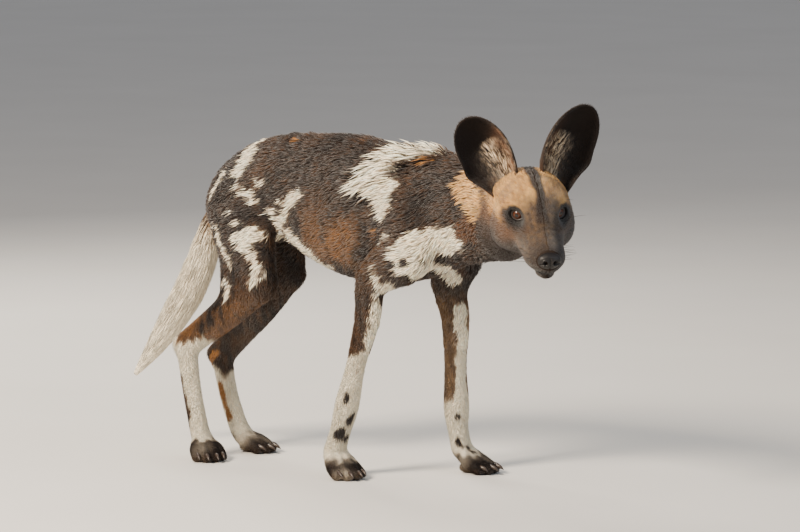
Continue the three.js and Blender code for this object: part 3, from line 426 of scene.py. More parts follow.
# Whiskers: roots on the left side in the head's frame, and their sizes in millimetres
WHISKER_ROOTS = [
    (34, 26, -32), (42, 26, -30), (50, 24.5, -29), (58, 22, -28), (36, 27, -38), (45, 26.5, -36),
    (54, 24, -35), (61, 20, -34), (44, 26, -42), (53, 23, -41), (-4, 24, 12), (-8, 26, 11), (-22, 42, -20),
]
WHISKER_LENGTH, WHISKER_RADIUS, WHISKER_SAG, WHISKER_SINK = 24.0, 0.28, 3.0, 1.0
WHISKER_CORNERS, WHISKER_RINGS = 4, 6

# Coat: how many layers of tufts lie over any place, and how many tufts a piece may hold
COAT_LAYERS, QUICK_LAYERS = 3.8, 1.0
COAT_SEED = 5
SHORT_TUFT = 7.0
LONG_IN_PIECE, SHORT_IN_PIECE = 19500, 48000

# Hair lengths in millimetres, and where one length gives way to the next
TRUNK_HAIR, NECK_MORE, LEG_HAIR, FOOT_HAIR, WITHERS_HAIR = 15.5, 2.5, 6.5, 4.0, 26
MUZZLE_HAIR, CROWN_MORE, BELLY_SHORTER, EYE_SHORTER = 2.8, 4.7, 0.25, 0.45
NECK_AHEAD, BELLY_DOWN, LEG_DOWN, FOOT_DOWN = (200, 280), (300, 262), (245, 150), (60, 30)
WITHERS_NEAR, CROWN_BACK, EYE_NEAR = (34, 12), (30, -50), (24, 13)

# The way the hair lies on each part, and how far it wanders to the side
BACK_WAY, NECK_WAY = np.array([-1.0, 0.0, -0.42]), np.array([-0.86, 0.42, -0.38])
DOWN_WAY, FOOT_WAY = np.array([-0.18, 0.0, -1.0]), np.array([0.9, 0.0, -0.5])
NECK_TURN, LEG_TURN, FOOT_TURN = (180, 260), (300, 225), (34, 18)
WANDER, WANDER_FINE = 0.22, 0.12

# Tufts: thickness, painted shade at the root and painted light at the tip, patch on the unwrap, and how much
# they vary
TUFT_WIDTH, TUFT_WIDENING, TUFT_THICKNESS = 0.45, 0.058, 0.7
ROOT_PAINTED_SHADE, TIP_PAINTED_LIGHT, PATCH = 0.62, 1.12, 0.0028
LENGTH_RANGE, WIDTH_RANGE, LIFT_RANGE, TURN_SPREAD = (0.75, 1.25), (0.8, 1.2), (0.5, 1.35), 0.14
ROOT_SINK, MIDDLE_RUN, MIDDLE_RISE, TIP_RISE = 0.5, 0.5, 0.62, 0.75
COAT_LIFT, LONG_LIFT, LONG_FROM = 0.2, 0.2, (18, 26)
SETTLE_MOST, SETTLED_RISE, HEIGHT_LEAST, MIDDLE_FLOOR, TIP_FLOOR = 8, (0.55, 0.7), 0.2, 1.2, 1.0
TONE_SPREAD, TONE_RANGE, WARM_SPREAD, ROOT_SLIMMER = 0.13, (0.6, 1.5), 0.05, 0.8

# The skin under the coat is darker than the hair: painted shade under the hair
SKIN_PAINTED_SHADE, EAR_SKIN_PAINTED_SHADE = 0.72, 0.8

# Parts of the coat, each with the name of a finish, and where legs and neck begin
COAT_PARTS = (
    ("trunk", "dark_coat"), ("neck", "dark_coat"), ("forelegs", "pale_coat"), ("hindlegs", "pale_coat"),
    ("head", "tan_coat"),
)
LEGS_BELOW, NECK_AHEAD_OF = 240, 190

# Where no hair grows, in millimetres or as shares of the nose's size
EYE_CLEAR, EYE_BEHIND, SOLE_CLEAR, MOUTH_CLEAR, NOSE_CLEAR = (9.8, 7.0), 9, 3.0, 1.4, 1.03

# The tail's locks: how many, from where to where they start, and how long they are as shares of its length
TAIL_LOCK_COUNT, TAIL_FROM, TAIL_TO = 9000, 0.02, 0.86
TAIL_SHORT, TAIL_LOCK_REACH, TAIL_BUSHY = 0.07, 0.2, (0.06, 0.26)
TAIL_ROOT_OUT, TAIL_SWIRL = 0.95, 0.12
TAIL_RINGS = ((0, 0.0), (0.3, 0.5), (0.65, 0.86), (1, 1.0))

# Where the brush takes the place of the body's coat: how near to the tail, below and behind what
TAIL_COVER = (2, 330, -150)

# Floor in metres. Lights: name, metres to the right, towards the camera and up, watts, size and colour
FLOOR_SIZE = 40.0
LIGHTS = (
    ("key_light", -1.9, 1.7, 1.9, 250.0, 0.9, (1.0, 0.86, 0.69)),
    ("fill_light", 2.2, 1.6, 1.3, 26.0, 1.8, (0.84, 0.92, 1.0)),
    ("rim_light", -0.9, -2.0, 1.9, 60.0, 1.0, (1.0, 0.92, 0.8)),
)
LIGHT_TARGET = (0.03, 0.0, 0.26)
SKY_COLOUR, SKY_STRENGTH, CAMERA_SEES = (0.9, 0.93, 1.0, 1), 0.4, 60.0

# Camera of the photograph
CAMERA_TURN, CAMERA_RISE, CAMERA_DISTANCE = 35.0, 6.5, 7000.0
PHOTO_WIDTH, PHOTO_HEIGHT = 800, 532
PHOTO_SCALE = 0.752
PHOTO_FOOT = (318.0, 464.5)
SENSOR = 36.0

# Hair colours are settings, named here by the property that holds each
DARK, OCHRE, PALE, BROWN, GOLD = "dark_hair", "ochre_hair", "pale_hair", "brown_hair", "gold_hair"
MUZZLE, BLACK, RUST, FAWN, TAN = "muzzle_hair", "black_hair", "rust_hair", "fawn_hair", "tan_hair"
EAR_HAIR = "ear_hair"

# Colours of bare parts, in sRGB from 0 to 255
EAR_BACK, EAR_INSIDE, EAR_EDGE = (52, 41, 35), (32, 25, 22), (122, 80, 52)
IRIS_LIGHT, IRIS_DARK, EYE_RIM, PUPIL = (92, 48, 24), (46, 24, 14), (58, 44, 38), (6, 5, 5)
NOSE_COLOURS = ((30, 26, 26), (14, 12, 12))
CLAW_COLOURS = ((38, 30, 27), (70, 58, 50))
LID_COLOURS = ((22, 17, 16), (52, 40, 35))
FLOOR_COLOURS = ((0.62, 0.6, 0.57), (0.68, 0.66, 0.63))

# Where the coat changes colour, in millimetres: where each change starts and where it is complete
RIBS_AT, RIBS_SPREAD, RIBS_OUT = (72, 302), (72, 48), (12, 34)
THIGH_DOWN, THIGH_UP, THIGH_BACK, LEFT_THIGH_SHARE = (262, 205), (120, 165), (-20, -60), 0.35
FRONT_FROM, ARM_DOWN, TAN_DOWN = (40, 60), (250, 215), (262, 215)
LEG_PART, PALE_SOFT = 20, 5
PAW_DOWN, TOE_DOWN = (30, 22), (12, 6)
TAIL_IN, TAIL_DOWN, TAIL_BACK = (4, 1), (352, 340), -150
TAIL_OCHRE_UP, TAIL_PALE_DOWN = (300, 330), (318, 296)
CHEEK_DOWN, CHEEK_BACK, JAW_DOWN, CHIN_DOWN = (-2, -18), (48, 8), (-22, -46), (-48, -62)
# The face's darker left side, partly dark hair and partly painted shade: how far out, down and back it
# reaches
SHADE_OUT, SHADE_DOWN, SHADE_FROM = (6, 16), (8, -6), (-34, -14)
MUZZLE_FROM, MUZZLE_SLOPE, TIP_FROM = (2, 26), 0.35, (44, 72)
LIP_FROM, LIP_DOWN, LIP_TO = (10, 30), (-26, -38), (66, 50)
MOUTH_NEAR, MOUTH_FROM = (6, 1.5), (6, 14)
STRIPE_NEAR, STRIPE_UP, STRIPE_TO = (8.5, 3.5), (-20, -6), (46, 26)
EYE_FRONT, EYE_BELOW, EYE_TALLER = (0, 4), (3, -5), 1.15
EYE_BROWN, EYE_DARK, EYE_BLACK = (4.4, 2.2), (3.4, 2.0), (2.3, 1.6)
TEAR_LINE, TEAR_NEAR = [(5, 20, -4), (26, 17, -18)], (7, 3)

# Ripples that break up colours and edges: size in millimetres and seed
BODY_WIDE, BODY_FINE, FACE_WIDE, FACE_FINE = (60, 51), (14, 52), (40, 61), (9, 62)
EDGE_WIDE, EDGE_FINE, LIE_WIDE, LIE_FINE = (17, 41), (7, 42), (55, 71), (16, 72)
EAR_RED, EAR_BROWN, EAR_MOTTLE, EAR_PALE = (22, 33), (16, 31), (30, 32), (9, 81)

# The long pale patch over the withers
WITHERS_LINE = [(116, -56, 388), (140, -42, 410), (164, -24, 430), (196, -10, 434)]

# Markings of the right side: colour, radius, then the places of a line through each
RIGHT_MARKS = [
    (PALE, 13, [(-94, -42, 395), (-85, -26, 417)]),
    (PALE, 8, [(-88, -24, 419), (-76, -8, 433)]),
    (PALE, 7.5, [(-138, -46, 361), (-128, -37, 383)]),
    (PALE, 7, [(-86, -55, 376), (-72, -54, 365), (-60, -53, 356)]),
    (PALE, 6, [(-56, -48, 381)]),
    (PALE, 6.5, [(-93, -64, 340)]),
    (PALE, 5.5, [(-82, -66, 325)]),
    (PALE, 7, [(-36, -44, 340), (-50, -54, 316)]),
    (PALE, 11, [(-54, -56, 313), (-74, -68, 305)]),
    (PALE, 7, [(-66, -68, 300), (-56, -66, 286), (-45, -63, 272), (-52, -72, 254)]),
    (PALE, 6.5, [(-121, -60, 318), (-109, -65, 293), (-93, -70, 270)]),
    (PALE, 6, [(-110, -58, 249), (-101, -64, 231)]),
    (PALE, 9, [(-15, -50, 355), (10, -53, 367)]),
    (PALE, 7.5, [(-13, -50, 352), (-23, -44, 328), (-43, -24, 302)]),
    (PALE, 14, [(-16, -38, 306), (4, -33, 290), (26, -20, 270)]),
    (PALE, 6, [(47, -31, 269)]),
    (PALE, 15, WITHERS_LINE),
    (PALE, 13, [(146, -58, 374), (160, -52, 390)]),
    (PALE, 9, [(160, -60, 366), (152, -60, 352)]),
    (PALE, 20, [(190, -76, 297), (206, -66, 312), (226, -48, 318), (252, -50, 322)]),
    (PALE, 15, [(204, -52, 284), (218, -20, 274)]),
    (PALE, 7.5, [(148, -66, 316), (162, -70, 321)]),
    (PALE, 6, [(150, -78, 276), (153, -74, 258)]),
    (PALE, 13, [(160, -66, 254), (150, -66, 222), (138, -72, 180)]),
    (BROWN, 6, [(124, -80, 158), (118, -80, 144)]),
    (OCHRE, 8, [(200, -26, 424)]),
    (OCHRE, 6, [(-15, -18, 438)]),
    (RUST, 16, [(296, -66, 342), (276, -62, 334)]),
    (FAWN, 17, [(308, -74, 366), (290, -66, 380), (272, -52, 398)]),
    (OCHRE, 7, [(136, -61, 327)]),
]

# Marks this far out on the right side have a fellow on the left, moved along and up and swollen by a share
MARK_SIDE, MARK_SHIFT, MARK_SWELL = -15, (20, 11), 0.3

# Small spots and strips of the legs and chest, laid over the markings
SPOTS = [
    (DARK, 8, [(197, -71, 291)]),
    (DARK, 7, [(179, -77, 287)]),
    (DARK, 4.5, [(105, -80, 112), (104, -80, 104)]),
    (DARK, 5.5, [(108, -71, 84), (104, -74, 76)]),
    (DARK, 6.5, [(97, -80, 66), (90, -78, 58)]),
    (DARK, 5.5, [(99, -69, 52)]),
    (PALE, 10, [(198, 48, 222), (200, 50, 190), (197, 52, 140), (198, 53, 92)]),
    (BROWN, 5.5, [(196, 42, 186), (195, 43, 172)]),
    (BROWN, 5, [(197, 46, 146)]),
    (DARK, 5, [(194, 46, 76), (197, 44, 70)]),
    (DARK, 4, [(204, 52, 92)]),
    (DARK, 5, [(193, 46, 44), (200, 46, 40)]),
    (DARK, 5, [(206, 55, 36), (216, 52, 30)]),
    (BROWN, 5, [(-191, -50, 112), (-184, -52, 86), (-176, -54, 60)]),
    (DARK, 4, [(-192, -48, 96), (-184, -48, 70), (-174, -50, 46)]),
    (OCHRE, 5, [(-186, 30, 92), (-178, 30, 68), (-170, 30, 48)]),
    (OCHRE, 6, [(-192, 28, 134), (-200, 34, 120)]),
]

# Height up to which each leg is pale
PALE_TO = {"fore_right": 168, "fore_left": 96, "hind_right": 164, "hind_left": 112}


def linear(colour):
    """A colour of 0 to 255, or a hair colour of the settings by its name, as linear light."""
    if isinstance(colour, str):
        colour = np.array(getattr(bpy.context.scene.wilddog, colour)) * 255
    c = np.asarray(colour, float) / 255
    return np.where(c <= 0.04045, c / 12.92, ((c + 0.055) / 1.055)**2.4)


def plain(count, colour):
    """Rows of one colour."""
    return np.zeros((count, 3)) + linear(colour)


def smooth_step(x, low, high):
    """From 0 at low to 1 at high along a smooth curve."""
    t = np.clip((x - low) / (high - low), 0, 1)
    return t * t * (3 - 2 * t)


def ripple(points, size, seed, waves=7):
    """A smooth waviness between about -1 and 1 with features of that size."""
    draw = np.random.default_rng(seed)
    total = np.zeros(len(points))
    for _ in range(waves):
        way = unit(draw.normal(size=3)) * draw.uniform(0.6, 1.5) * 2 * math.pi / size
        total += np.sin(points @ way + draw.uniform(0, 2 * math.pi))
    return total / math.sqrt(waves / 2) / 1.6


def line_distance(points, line):
    """Distance of each point to a line through some places."""
    line = np.asarray(line, float)
    if len(line) == 1:
        return np.linalg.norm(points - line[0], axis=1)
    best = np.full(len(points), FAR)
    for a, b in zip(line[:-1], line[1:]):
        along = b - a
        t = np.clip((points - a) @ along / (along @ along), 0, 1)
        best = np.minimum(best, np.linalg.norm(points - a - t[:, None] * along, axis=1))
    return best


def nearness_to_head(points):
    """1 on the head, falling to 0 down the neck."""
    q = to_head(points)
    return smooth_step(q[:, 0], *HEAD_STARTS) * smooth_step(points[:, 0], *NECK_ENDS)


def skin_depth(points):
    """How far the skin lies inside the solids."""
    depth = LEG_DEPTH + (BODY_DEPTH - LEG_DEPTH) * smooth_step(points[:, 2], *LEG_HEIGHTS)
    depth = FACE_DEPTH + (depth - FACE_DEPTH) * smooth_step(points[:, 2], *FOOT_HEIGHTS)
    return depth + (FACE_DEPTH - depth) * nearness_to_head(points)


def eye_axes(side):
    """An eye's middle, the way it looks, and the two ways across its opening."""
    looks = unit(mirrored(EYE_LOOKS, side)) @ HEAD
    across = unit(np.cross(HEAD[2], looks))
    upright = np.cross(looks, across)
    tilt = math.radians(FISSURE_TILT * side)
    turned = across * math.cos(tilt) + upright * math.sin(tilt)
    return in_head(*mirrored(EYE_AT, side)), looks, turned, upright * math.cos(tilt) - across * math.sin(tilt)


def mouth_height(forward):
    """Height of the mouth's line in the head's frame."""
    run = np.clip((forward - MOUTH_CORNER[0]) / (MOUTH_FRONT[0] - MOUTH_CORNER[0]), 0, 1)
    return MOUTH_CORNER[2] - MOUTH_SAG * np.sin(run * math.pi) + (MOUTH_FRONT[2] - MOUTH_CORNER[2]) * run


core_tail = Limb(
    [(x, 0, z, half * s, deep * s) for (x, z, half, deep), s in zip(TAIL, TAIL_CORE_SHARES)], steps=2,
)


def skin_field(points):
    """The skin: the body's surface drawn in by the coat's depth, with the eyes and mouth opened."""
    d = body_field(points, core_tail) + skin_depth(points)
    near = np.abs(points - EYE_MIDDLE).max(1) < HEAD_REACH
    if near.any():
        p, held = points[near], d[near]
        radii = (OPENING_DEPTH, FISSURE_LENGTH + OPENING_MORE, FISSURE_HEIGHT + OPENING_MORE)
        for side in (1, -1):
            eye, looks, across, upright = eye_axes(side)
            opening = ball(p, eye + looks * EYE_RADIUS, radii, (looks, across, upright))
            held = np.maximum(held, -opening)
            held = np.maximum(held, EYE_RADIUS - EYE_GAP - np.linalg.norm(p - eye, axis=1))
        q = to_head(p)
        slot = MOUTH_HALF - np.abs(q[:, 2] - mouth_height(q[:, 0]))
        slot = np.minimum(slot, held + MOUTH_DEPTH)
        held = np.where(q[:, 0] > MOUTH_CORNER[0], np.maximum(held, slot), held)
        d[near] = held
    return d


def grid_lines(start, stretches):
    """Places along one axis, evenly spaced within each stretch."""
    lines = [start]
    for end, step in stretches:
        count = max(round((end - lines[-1]) / step), 1)
        lines.extend(np.linspace(lines[-1], end, count + 1)[1:])
    return np.array(lines)


CORNERS = [(i, j, k) for i in (0, 1) for j in (0, 1) for k in (0, 1)]


def corner_slice(corner, counts):
    """The part of a grid that starts at a cell's corner."""
    return tuple(slice(start, start + count) for start, count in zip(corner, counts))


def sparse_values(distance, lines):
    """Values on a grid: exact near the surface, and of the right sign elsewhere."""
    picks = [np.unique(np.append(np.arange(0, len(line), ROUGH_STRIDE), len(line) - 1)) for line in lines]
    rough_lines = [line[pick] for line, pick in zip(lines, picks)]
    rough = np.stack(np.meshgrid(*rough_lines, indexing="ij"), -1)
    shape = rough.shape[:3]
    rough = distance(rough.reshape(-1, 3)).reshape(shape)
    parts = [rough[corner_slice(corner, np.array(shape) - 1)] for corner in CORNERS]
    low, high = np.minimum.reduce(parts), np.maximum.reduce(parts)
    active = (low < ROUGH_REACH) & (high > -ROUGH_REACH)
    cells = [np.clip(np.searchsorted(pick, np.arange(len(line)), side="right") - 1, 0, len(pick) - 2)
             for line, pick in zip(lines, picks)]
    spread = np.ix_(*cells)
    values = rough[:-1, :-1, :-1][spread].astype(np.float32)
    busy = np.argwhere(active[spread])
    places = np.stack([lines[axis][busy[:, axis]] for axis in range(3)], 1)
    values[tuple(busy.T)] = distance(places)
    return values


def surface_nets(values, lines):
    """Corners and four-sided faces of the surface where the values pass through zero."""
    counts = np.array(values.shape) - 1
    inside = values < 0
    total = np.zeros(tuple(counts), np.int8)
    for corner in CORNERS:
        total += inside[corner_slice(corner, counts)]
    active = np.argwhere((total > 0) & (total < 8))
    index = -np.ones(tuple(counts), int)
    index[tuple(active.T)] = np.arange(len(active))
    sums = np.zeros((len(active), 3))
    crossed = np.zeros(len(active))
    for a in CORNERS:
        for b in CORNERS:
            if sum(b) - sum(a) == 1 and all(q >= p for p, q in zip(a, b)):
                va = values[tuple((active + a).T)]
                vb = values[tuple((active + b).T)]
                cross = (va < 0) != (vb < 0)
                t = np.where(cross, va / np.where(cross, va - vb, 1), 0)
                step = np.array(a) + t[:, None] * (np.array(b) - np.array(a))
                sums += np.where(cross[:, None], step, 0)
                crossed += cross
    spots = active + sums / crossed[:, None]
    places = np.stack([np.interp(spots[:, n], np.arange(len(lines[n])), lines[n]) for n in range(3)], 1)
    faces = []
    for axis in range(3):
        first, second = [(1, 2), (2, 0), (0, 1)][axis]
        here = values[tuple(slice(0, -1) if n == axis else slice(1, -1) for n in range(3))]
        there = values[tuple(slice(1, None) if n == axis else slice(1, -1) for n in range(3))]
        edges = np.argwhere((here < 0) != (there < 0))
        offset = np.ones(3, int)
        offset[axis] = 0
        outward = here[tuple(edges.T)] < 0
        quad = []
        for back_first, back_second in ((1, 1), (0, 1), (0, 0), (1, 0)):
            cell = edges + offset
            cell[:, first] -= back_first
            cell[:, second] -= back_second
            quad.append(index[tuple(cell.T)])
        quad = np.stack(quad, 1)
        quad[~outward] = quad[~outward][:, ::-1]
        faces.append(quad)
    return places, np.vstack(faces)


def field_normals(points, field=None, step=0.6):
    """The outward way at each point."""
    field = field or body_field
    ways = np.eye(3) * step
    return unit(np.stack([field(points + way) - field(points - way) for way in ways], 1))


@functools.cache
def skin_mesh():
    """The skin's corners and faces, in the body's frame."""
    lines = [grid_lines(*stretch) for stretch in (GRID_X, GRID_Y, GRID_Z)]
    values = sparse_values(skin_field, lines)
    points, faces = surface_nets(values, lines)
    points[:, 2] = np.maximum(points[:, 2], 0.0)
    return points, faces


def ear_sheet(name, rows, columns):
    """The middle surface of an ear: places, and the way out of its hollow side."""
    ear = EARS[name]
    along = unit(ear["axis"]) @ HEAD
    front = unit(ear["faces"]) @ HEAD
    front = unit(front - along * (front @ along))
    across = np.cross(along, front)
    outer = -1 if name == "right" else 1
    u = 1 - (1 - np.linspace(0, 1, rows))**EAR_CROWDING
    share = np.linspace(-1, 1, columns)
    rise = EAR_ROOT_SHARE + (1 - EAR_ROOT_SHARE) * np.sin(math.pi / 2 * u / EAR_WIDEST)
    fall = np.sqrt(np.clip(1 - ((u - EAR_WIDEST) / (1 - EAR_WIDEST))**2, 0, None))
    width = np.maximum(ear["half"] * np.where(u < EAR_WIDEST, rise, fall), EAR_LEAST)
    pouch = EAR_POUCH_OUT * np.exp(-((u - EAR_POUCH_AT) / EAR_POUCH_SPREAD)**2)
    bend = np.radians(EAR_BEND - EAR_OPENING * u**EAR_OPENING_CURVE)
    radius = width / np.sin(np.minimum(bend, math.pi / 2))
    turn = bend[:, None] * share[None, :]
    bulge = np.clip(share * outer, 0, None)[None, :]**2
    out = radius[:, None] * np.sin(turn) + outer * pouch[:, None] * bulge
    back = radius[:, None] * (np.cos(turn) - np.maximum(np.cos(bend), 0)[:, None])
    lift = (EAR_LEAN * u**2 - EAR_SINK)[:, None] - back
    root = in_head(*ear["root"])
    height = (ear["length"] * u)[:, None, None]
    places = root + height * along + out[..., None] * across + lift[..., None] * front
    up = np.gradient(places, axis=0)
    over = np.gradient(places, axis=1)
    return places, unit(np.cross(over, up)), u, share


@functools.cache
def ear_mesh(name):
    """An ear as a closed cup, with its places along and across; the hollow side's corners come first."""
    places, forward, u, share = ear_sheet(name, EAR_ROWS, EAR_COLUMNS)
    side_edge = (1 - np.abs(share))[None, :] / EAR_SIDE_TAPER
    tip_edge = (1 - u)[:, None] / EAR_TIP_TAPER + EAR_TIP_LEAST
    edge = np.minimum(1, np.minimum(side_edge, tip_edge))
    half = (EAR_THICKNESS / 2 * np.sqrt(np.clip(1 - (1 - edge)**2, EAR_EDGE_LEAST, 1)))[..., None]
    count = EAR_ROWS * EAR_COLUMNS
    at = np.arange(count).reshape(EAR_ROWS, EAR_COLUMNS)
    a, b, c, d = at[:-1, :-1], at[1:, :-1], at[1:, 1:], at[:-1, 1:]
    hollow = np.stack([a, d, c, b], -1).reshape(-1, 4)
    back = np.stack([a, b, c, d], -1).reshape(-1, 4) + count
    rim = np.concatenate([at[:, 0], at[-1, 1:], at[-2::-1, -1], at[0, -2:0:-1]])
    after = np.roll(rim, -1)
    faces = np.vstack([hollow, back, np.stack([rim, after, after + count, rim + count], 1)])
    points = np.concatenate([places + forward * half, places - forward * half]).reshape(-1, 3)
    across = np.broadcast_to(share[None, :], at.shape).reshape(-1)
    along = np.broadcast_to(u[:, None], at.shape).reshape(-1)
    return dict(points=points, faces=faces, along=np.tile(along, 2), across=np.tile(across, 2), count=count)


def ear_colours(points, along, across, inside, name):
    """An ear's colours: near black with a reddish inner edge in its hollow, dark brown behind."""
    inner = across if name == "right" else -across
    hollow = plain(len(points), EAR_INSIDE)
    reddish = smooth_step(inner, 0.0, 0.75) * smooth_step(inner, 1.02, 0.9) * smooth_step(along, 0.9, 0.5)
    hollow = mix(hollow, EAR_EDGE, reddish * (0.6 + 0.3 * ripple(points, *EAR_RED)))
    root = smooth_step(along, 0.3, 0.05) * (0.5 + 0.5 * ripple(points, *EAR_BROWN))
    hollow = mix(hollow, BROWN, root * 0.6)
    outside = linear(EAR_BACK)[None, :] * (1 + 0.25 * ripple(points, *EAR_MOTTLE))[:, None]
    outside = mix(outside, RUST, smooth_step(along, 0.36, 0.02) * 0.7)
    return np.where(inside[:, None], hollow, outside)


def mix(colours, other, share):
    """Rows of colours drawn towards another by a share, evenly to the eye."""
    share = np.clip(share, 0, 1)[:, None]
    return (np.sqrt(np.clip(colours, 0, None)) * (1 - share) + np.sqrt(linear(other)) * share)**2


def marked(colours, points, marks, soft=1.6, ragged=3.0):
    """Colours with each marking laid over them, its edge soft and ragged."""
    wave = ripple(points, *EDGE_WIDE) * ragged + ripple(points, *EDGE_FINE) * ragged * 0.5
    for colour, radius, line in marks:
        edge = line_distance(points, line) - radius + wave
        share = smooth_step(edge, soft, -soft)
        colours = mix(colours, colour, share)
    return colours


@functools.cache
def all_marks():
    """The markings of both sides: the left side's own are the right's, moved and made larger or smaller."""
    marks = list(RIGHT_MARKS)
    for n, (colour, radius, line) in enumerate(RIGHT_MARKS):
        line = np.asarray(line, float)
        if line[:, 1].max() > MARK_SIDE:
            continue
        along, up = MARK_SHIFT
        moved = line * (1, -1, 1) + (along * math.sin(2.1 * n + 1), 0, up * math.cos(1.7 * n))
        marks.append((colour, radius * (1 + MARK_SWELL * math.sin(3.3 * n)), moved.tolist()))
    return marks


def body_colours(points):
    """The coat's colours anywhere on the body."""
    x, y, z = points.T
    wide, fine = ripple(points, *BODY_WIDE), ripple(points, *BODY_FINE)
    colours = plain(len(points), DARK)
    ribs = np.exp(-((x - RIBS_AT[0]) / RIBS_SPREAD[0])**2 - ((z - RIBS_AT[1]) / RIBS_SPREAD[1])**2)
    ribs = ribs * smooth_step(np.abs(y), *RIBS_OUT)
    colours = mix(colours, OCHRE, ribs * (0.75 + 0.6 * wide + 0.35 * fine))
    thigh = smooth_step(z, *THIGH_DOWN) * smooth_step(z, *THIGH_UP) * smooth_step(x, *THIGH_BACK)
    thigh = thigh * (0.55 + 0.45 * wide + 0.3 * fine) * np.where(y < 0, 1.0, LEFT_THIGH_SHARE)
    colours = mix(colours, OCHRE, thigh)
    colours = mix(colours, BROWN, 0.28 + 0.3 * fine + 0.25 * wide)
    front = smooth_step(x, *FRONT_FROM)
    colours = mix(colours, BROWN, smooth_step(z, *ARM_DOWN) * front * (0.7 + 0.2 * fine))
    colours = mix(colours, TAN, smooth_step(z, *TAN_DOWN) * front * (y > 0) * (0.75 + 0.25 * fine))
    for name, top in PALE_TO.items():
        where = (x > LEG_PART) if name.startswith("fore") else (x < -LEG_PART)
        where = where & ((y < 0) if name.endswith("right") else (y > 0))
        lower = smooth_step(z + 7 * wide + 4 * fine, top + PALE_SOFT, top - PALE_SOFT)
        colours = mix(colours, PALE, lower * where)
    colours = marked(colours, points, all_marks())
    colours = marked(colours, points, SPOTS, 1.0, 1.5)
    colours = mix(colours, DARK, smooth_step(z + 3 * fine, *PAW_DOWN) * (0.85 + 0.4 * wide))
    colours = mix(colours, BROWN, smooth_step(z, *TOE_DOWN) * 0.3)
    tail = smooth_step(tail_limb.distance(points), *TAIL_IN) * smooth_step(z, *TAIL_DOWN) * (x < TAIL_BACK)
    colours = mix(colours, OCHRE, tail * smooth_step(z, *TAIL_OCHRE_UP) * (0.4 + 0.4 * fine))
    colours = mix(colours, PALE, tail * smooth_step(z + 10 * fine, *TAIL_PALE_DOWN))
    on_head = nearness_to_head(points)
    return colours + (head_colours(points) - colours) * on_head[:, None]


def head_colours(points):
    """Golden face, dark stripe, grey-brown muzzle, dark rims round the eyes, and a darker left side of the
    face that is partly dark hair and partly painted shade.
    """
    q = to_head(points)
    x, y, z = q.T
    wide, fine = ripple(points, *FACE_WIDE), ripple(points, *FACE_FINE)
    colours = plain(len(points), GOLD)
    colours = mix(colours, OCHRE, 0.22 + 0.25 * wide + 0.25 * fine)
    cheek = smooth_step(z + 4 * wide + 3 * fine, *CHEEK_DOWN) * smooth_step(x, *CHEEK_BACK)
    colours = mix(colours, RUST, cheek * 0.92)
    colours = mix(colours, DARK, cheek * smooth_step(z + 5 * wide, *JAW_DOWN) * 0.75)
    colours = mix(colours, DARK, smooth_step(z, *CHIN_DOWN) * 0.6)
    # Darker left side of the face below the eye: partly its own dark hair, partly painted shade
    shade = smooth_step(y, *SHADE_OUT) * smooth_step(z + 4 * wide, *SHADE_DOWN) * smooth_step(x, *SHADE_FROM)
    colours = mix(colours, DARK, shade * (0.72 + 0.2 * fine))
    muzzle = smooth_step(x + MUZZLE_SLOPE * z + 3 * wide, *MUZZLE_FROM)
    colours = mix(colours, MUZZLE, muzzle * (0.86 + 0.1 * fine))
    lip = smooth_step(x, *LIP_FROM) * smooth_step(z, *LIP_DOWN) * smooth_step(x, *LIP_TO)
    colours = mix(colours, RUST, lip * 0.45)
    colours = mix(colours, DARK, smooth_step(x, *TIP_FROM) * 0.7)
    mouth = smooth_step(np.abs(z - mouth_height(x)), *MOUTH_NEAR) * smooth_step(x, *MOUTH_FROM)
    colours = mix(colours, BLACK, mouth * 0.85)
    stripe = smooth_step(np.abs(y + 1.5 * wide), *STRIPE_NEAR) * smooth_step(z, *STRIPE_UP)
    colours = mix(colours, DARK, stripe * smooth_step(x, *STRIPE_TO) * 0.94)
    for side in (1, -1):
        eye, looks, across, upright = eye_axes(side)
        offset = points - eye
        front = smooth_step(offset @ looks, *EYE_FRONT)
        below = smooth_step(offset @ upright, *EYE_BELOW) * front
        reach = np.hypot(offset @ across / FISSURE_LENGTH, offset @ upright / (FISSURE_HEIGHT * EYE_TALLER))
        colours = mix(colours, BROWN, smooth_step(reach + 0.3 * fine, *EYE_BROWN) * below * 0.9)
        colours = mix(colours, DARK, smooth_step(reach + 0.25 * fine, *EYE_DARK) * below * 0.8)
        colours = mix(colours, BLACK, smooth_step(reach + 0.1 * fine, *EYE_BLACK) * front)
        tear = line_distance(q, [mirrored(place, side) for place in TEAR_LINE])
        colours = mix(colours, DARK, smooth_step(tear, *TEAR_NEAR) * 0.7)
    return colours


def coat_length(points):
    """Length of the hair in millimetres."""
    x, _, z = points.T
    length = TRUNK_HAIR + NECK_MORE * smooth_step(x, *NECK_AHEAD)
    length = length * (1 - BELLY_SHORTER * smooth_step(z, *BELLY_DOWN))
    length = length + (LEG_HAIR - length) * smooth_step(z, *LEG_DOWN)
    length = length + (FOOT_HAIR - length) * smooth_step(z, *FOOT_DOWN)
    withers = smooth_step(line_distance(points, WITHERS_LINE), *WITHERS_NEAR)
    length = length + (WITHERS_HAIR - length) * withers
    face = MUZZLE_HAIR + CROWN_MORE * smooth_step(to_head(points)[:, 0], *CROWN_BACK)
    length = length + (face - length) * nearness_to_head(points)
    for side in (1, -1):
        near = np.linalg.norm(points - in_head(*mirrored(EYE_AT, side)), axis=1)
        length = length * (1 - EYE_SHORTER * smooth_step(near, *EYE_NEAR))
    return length * bpy.context.scene.wilddog.hair_length


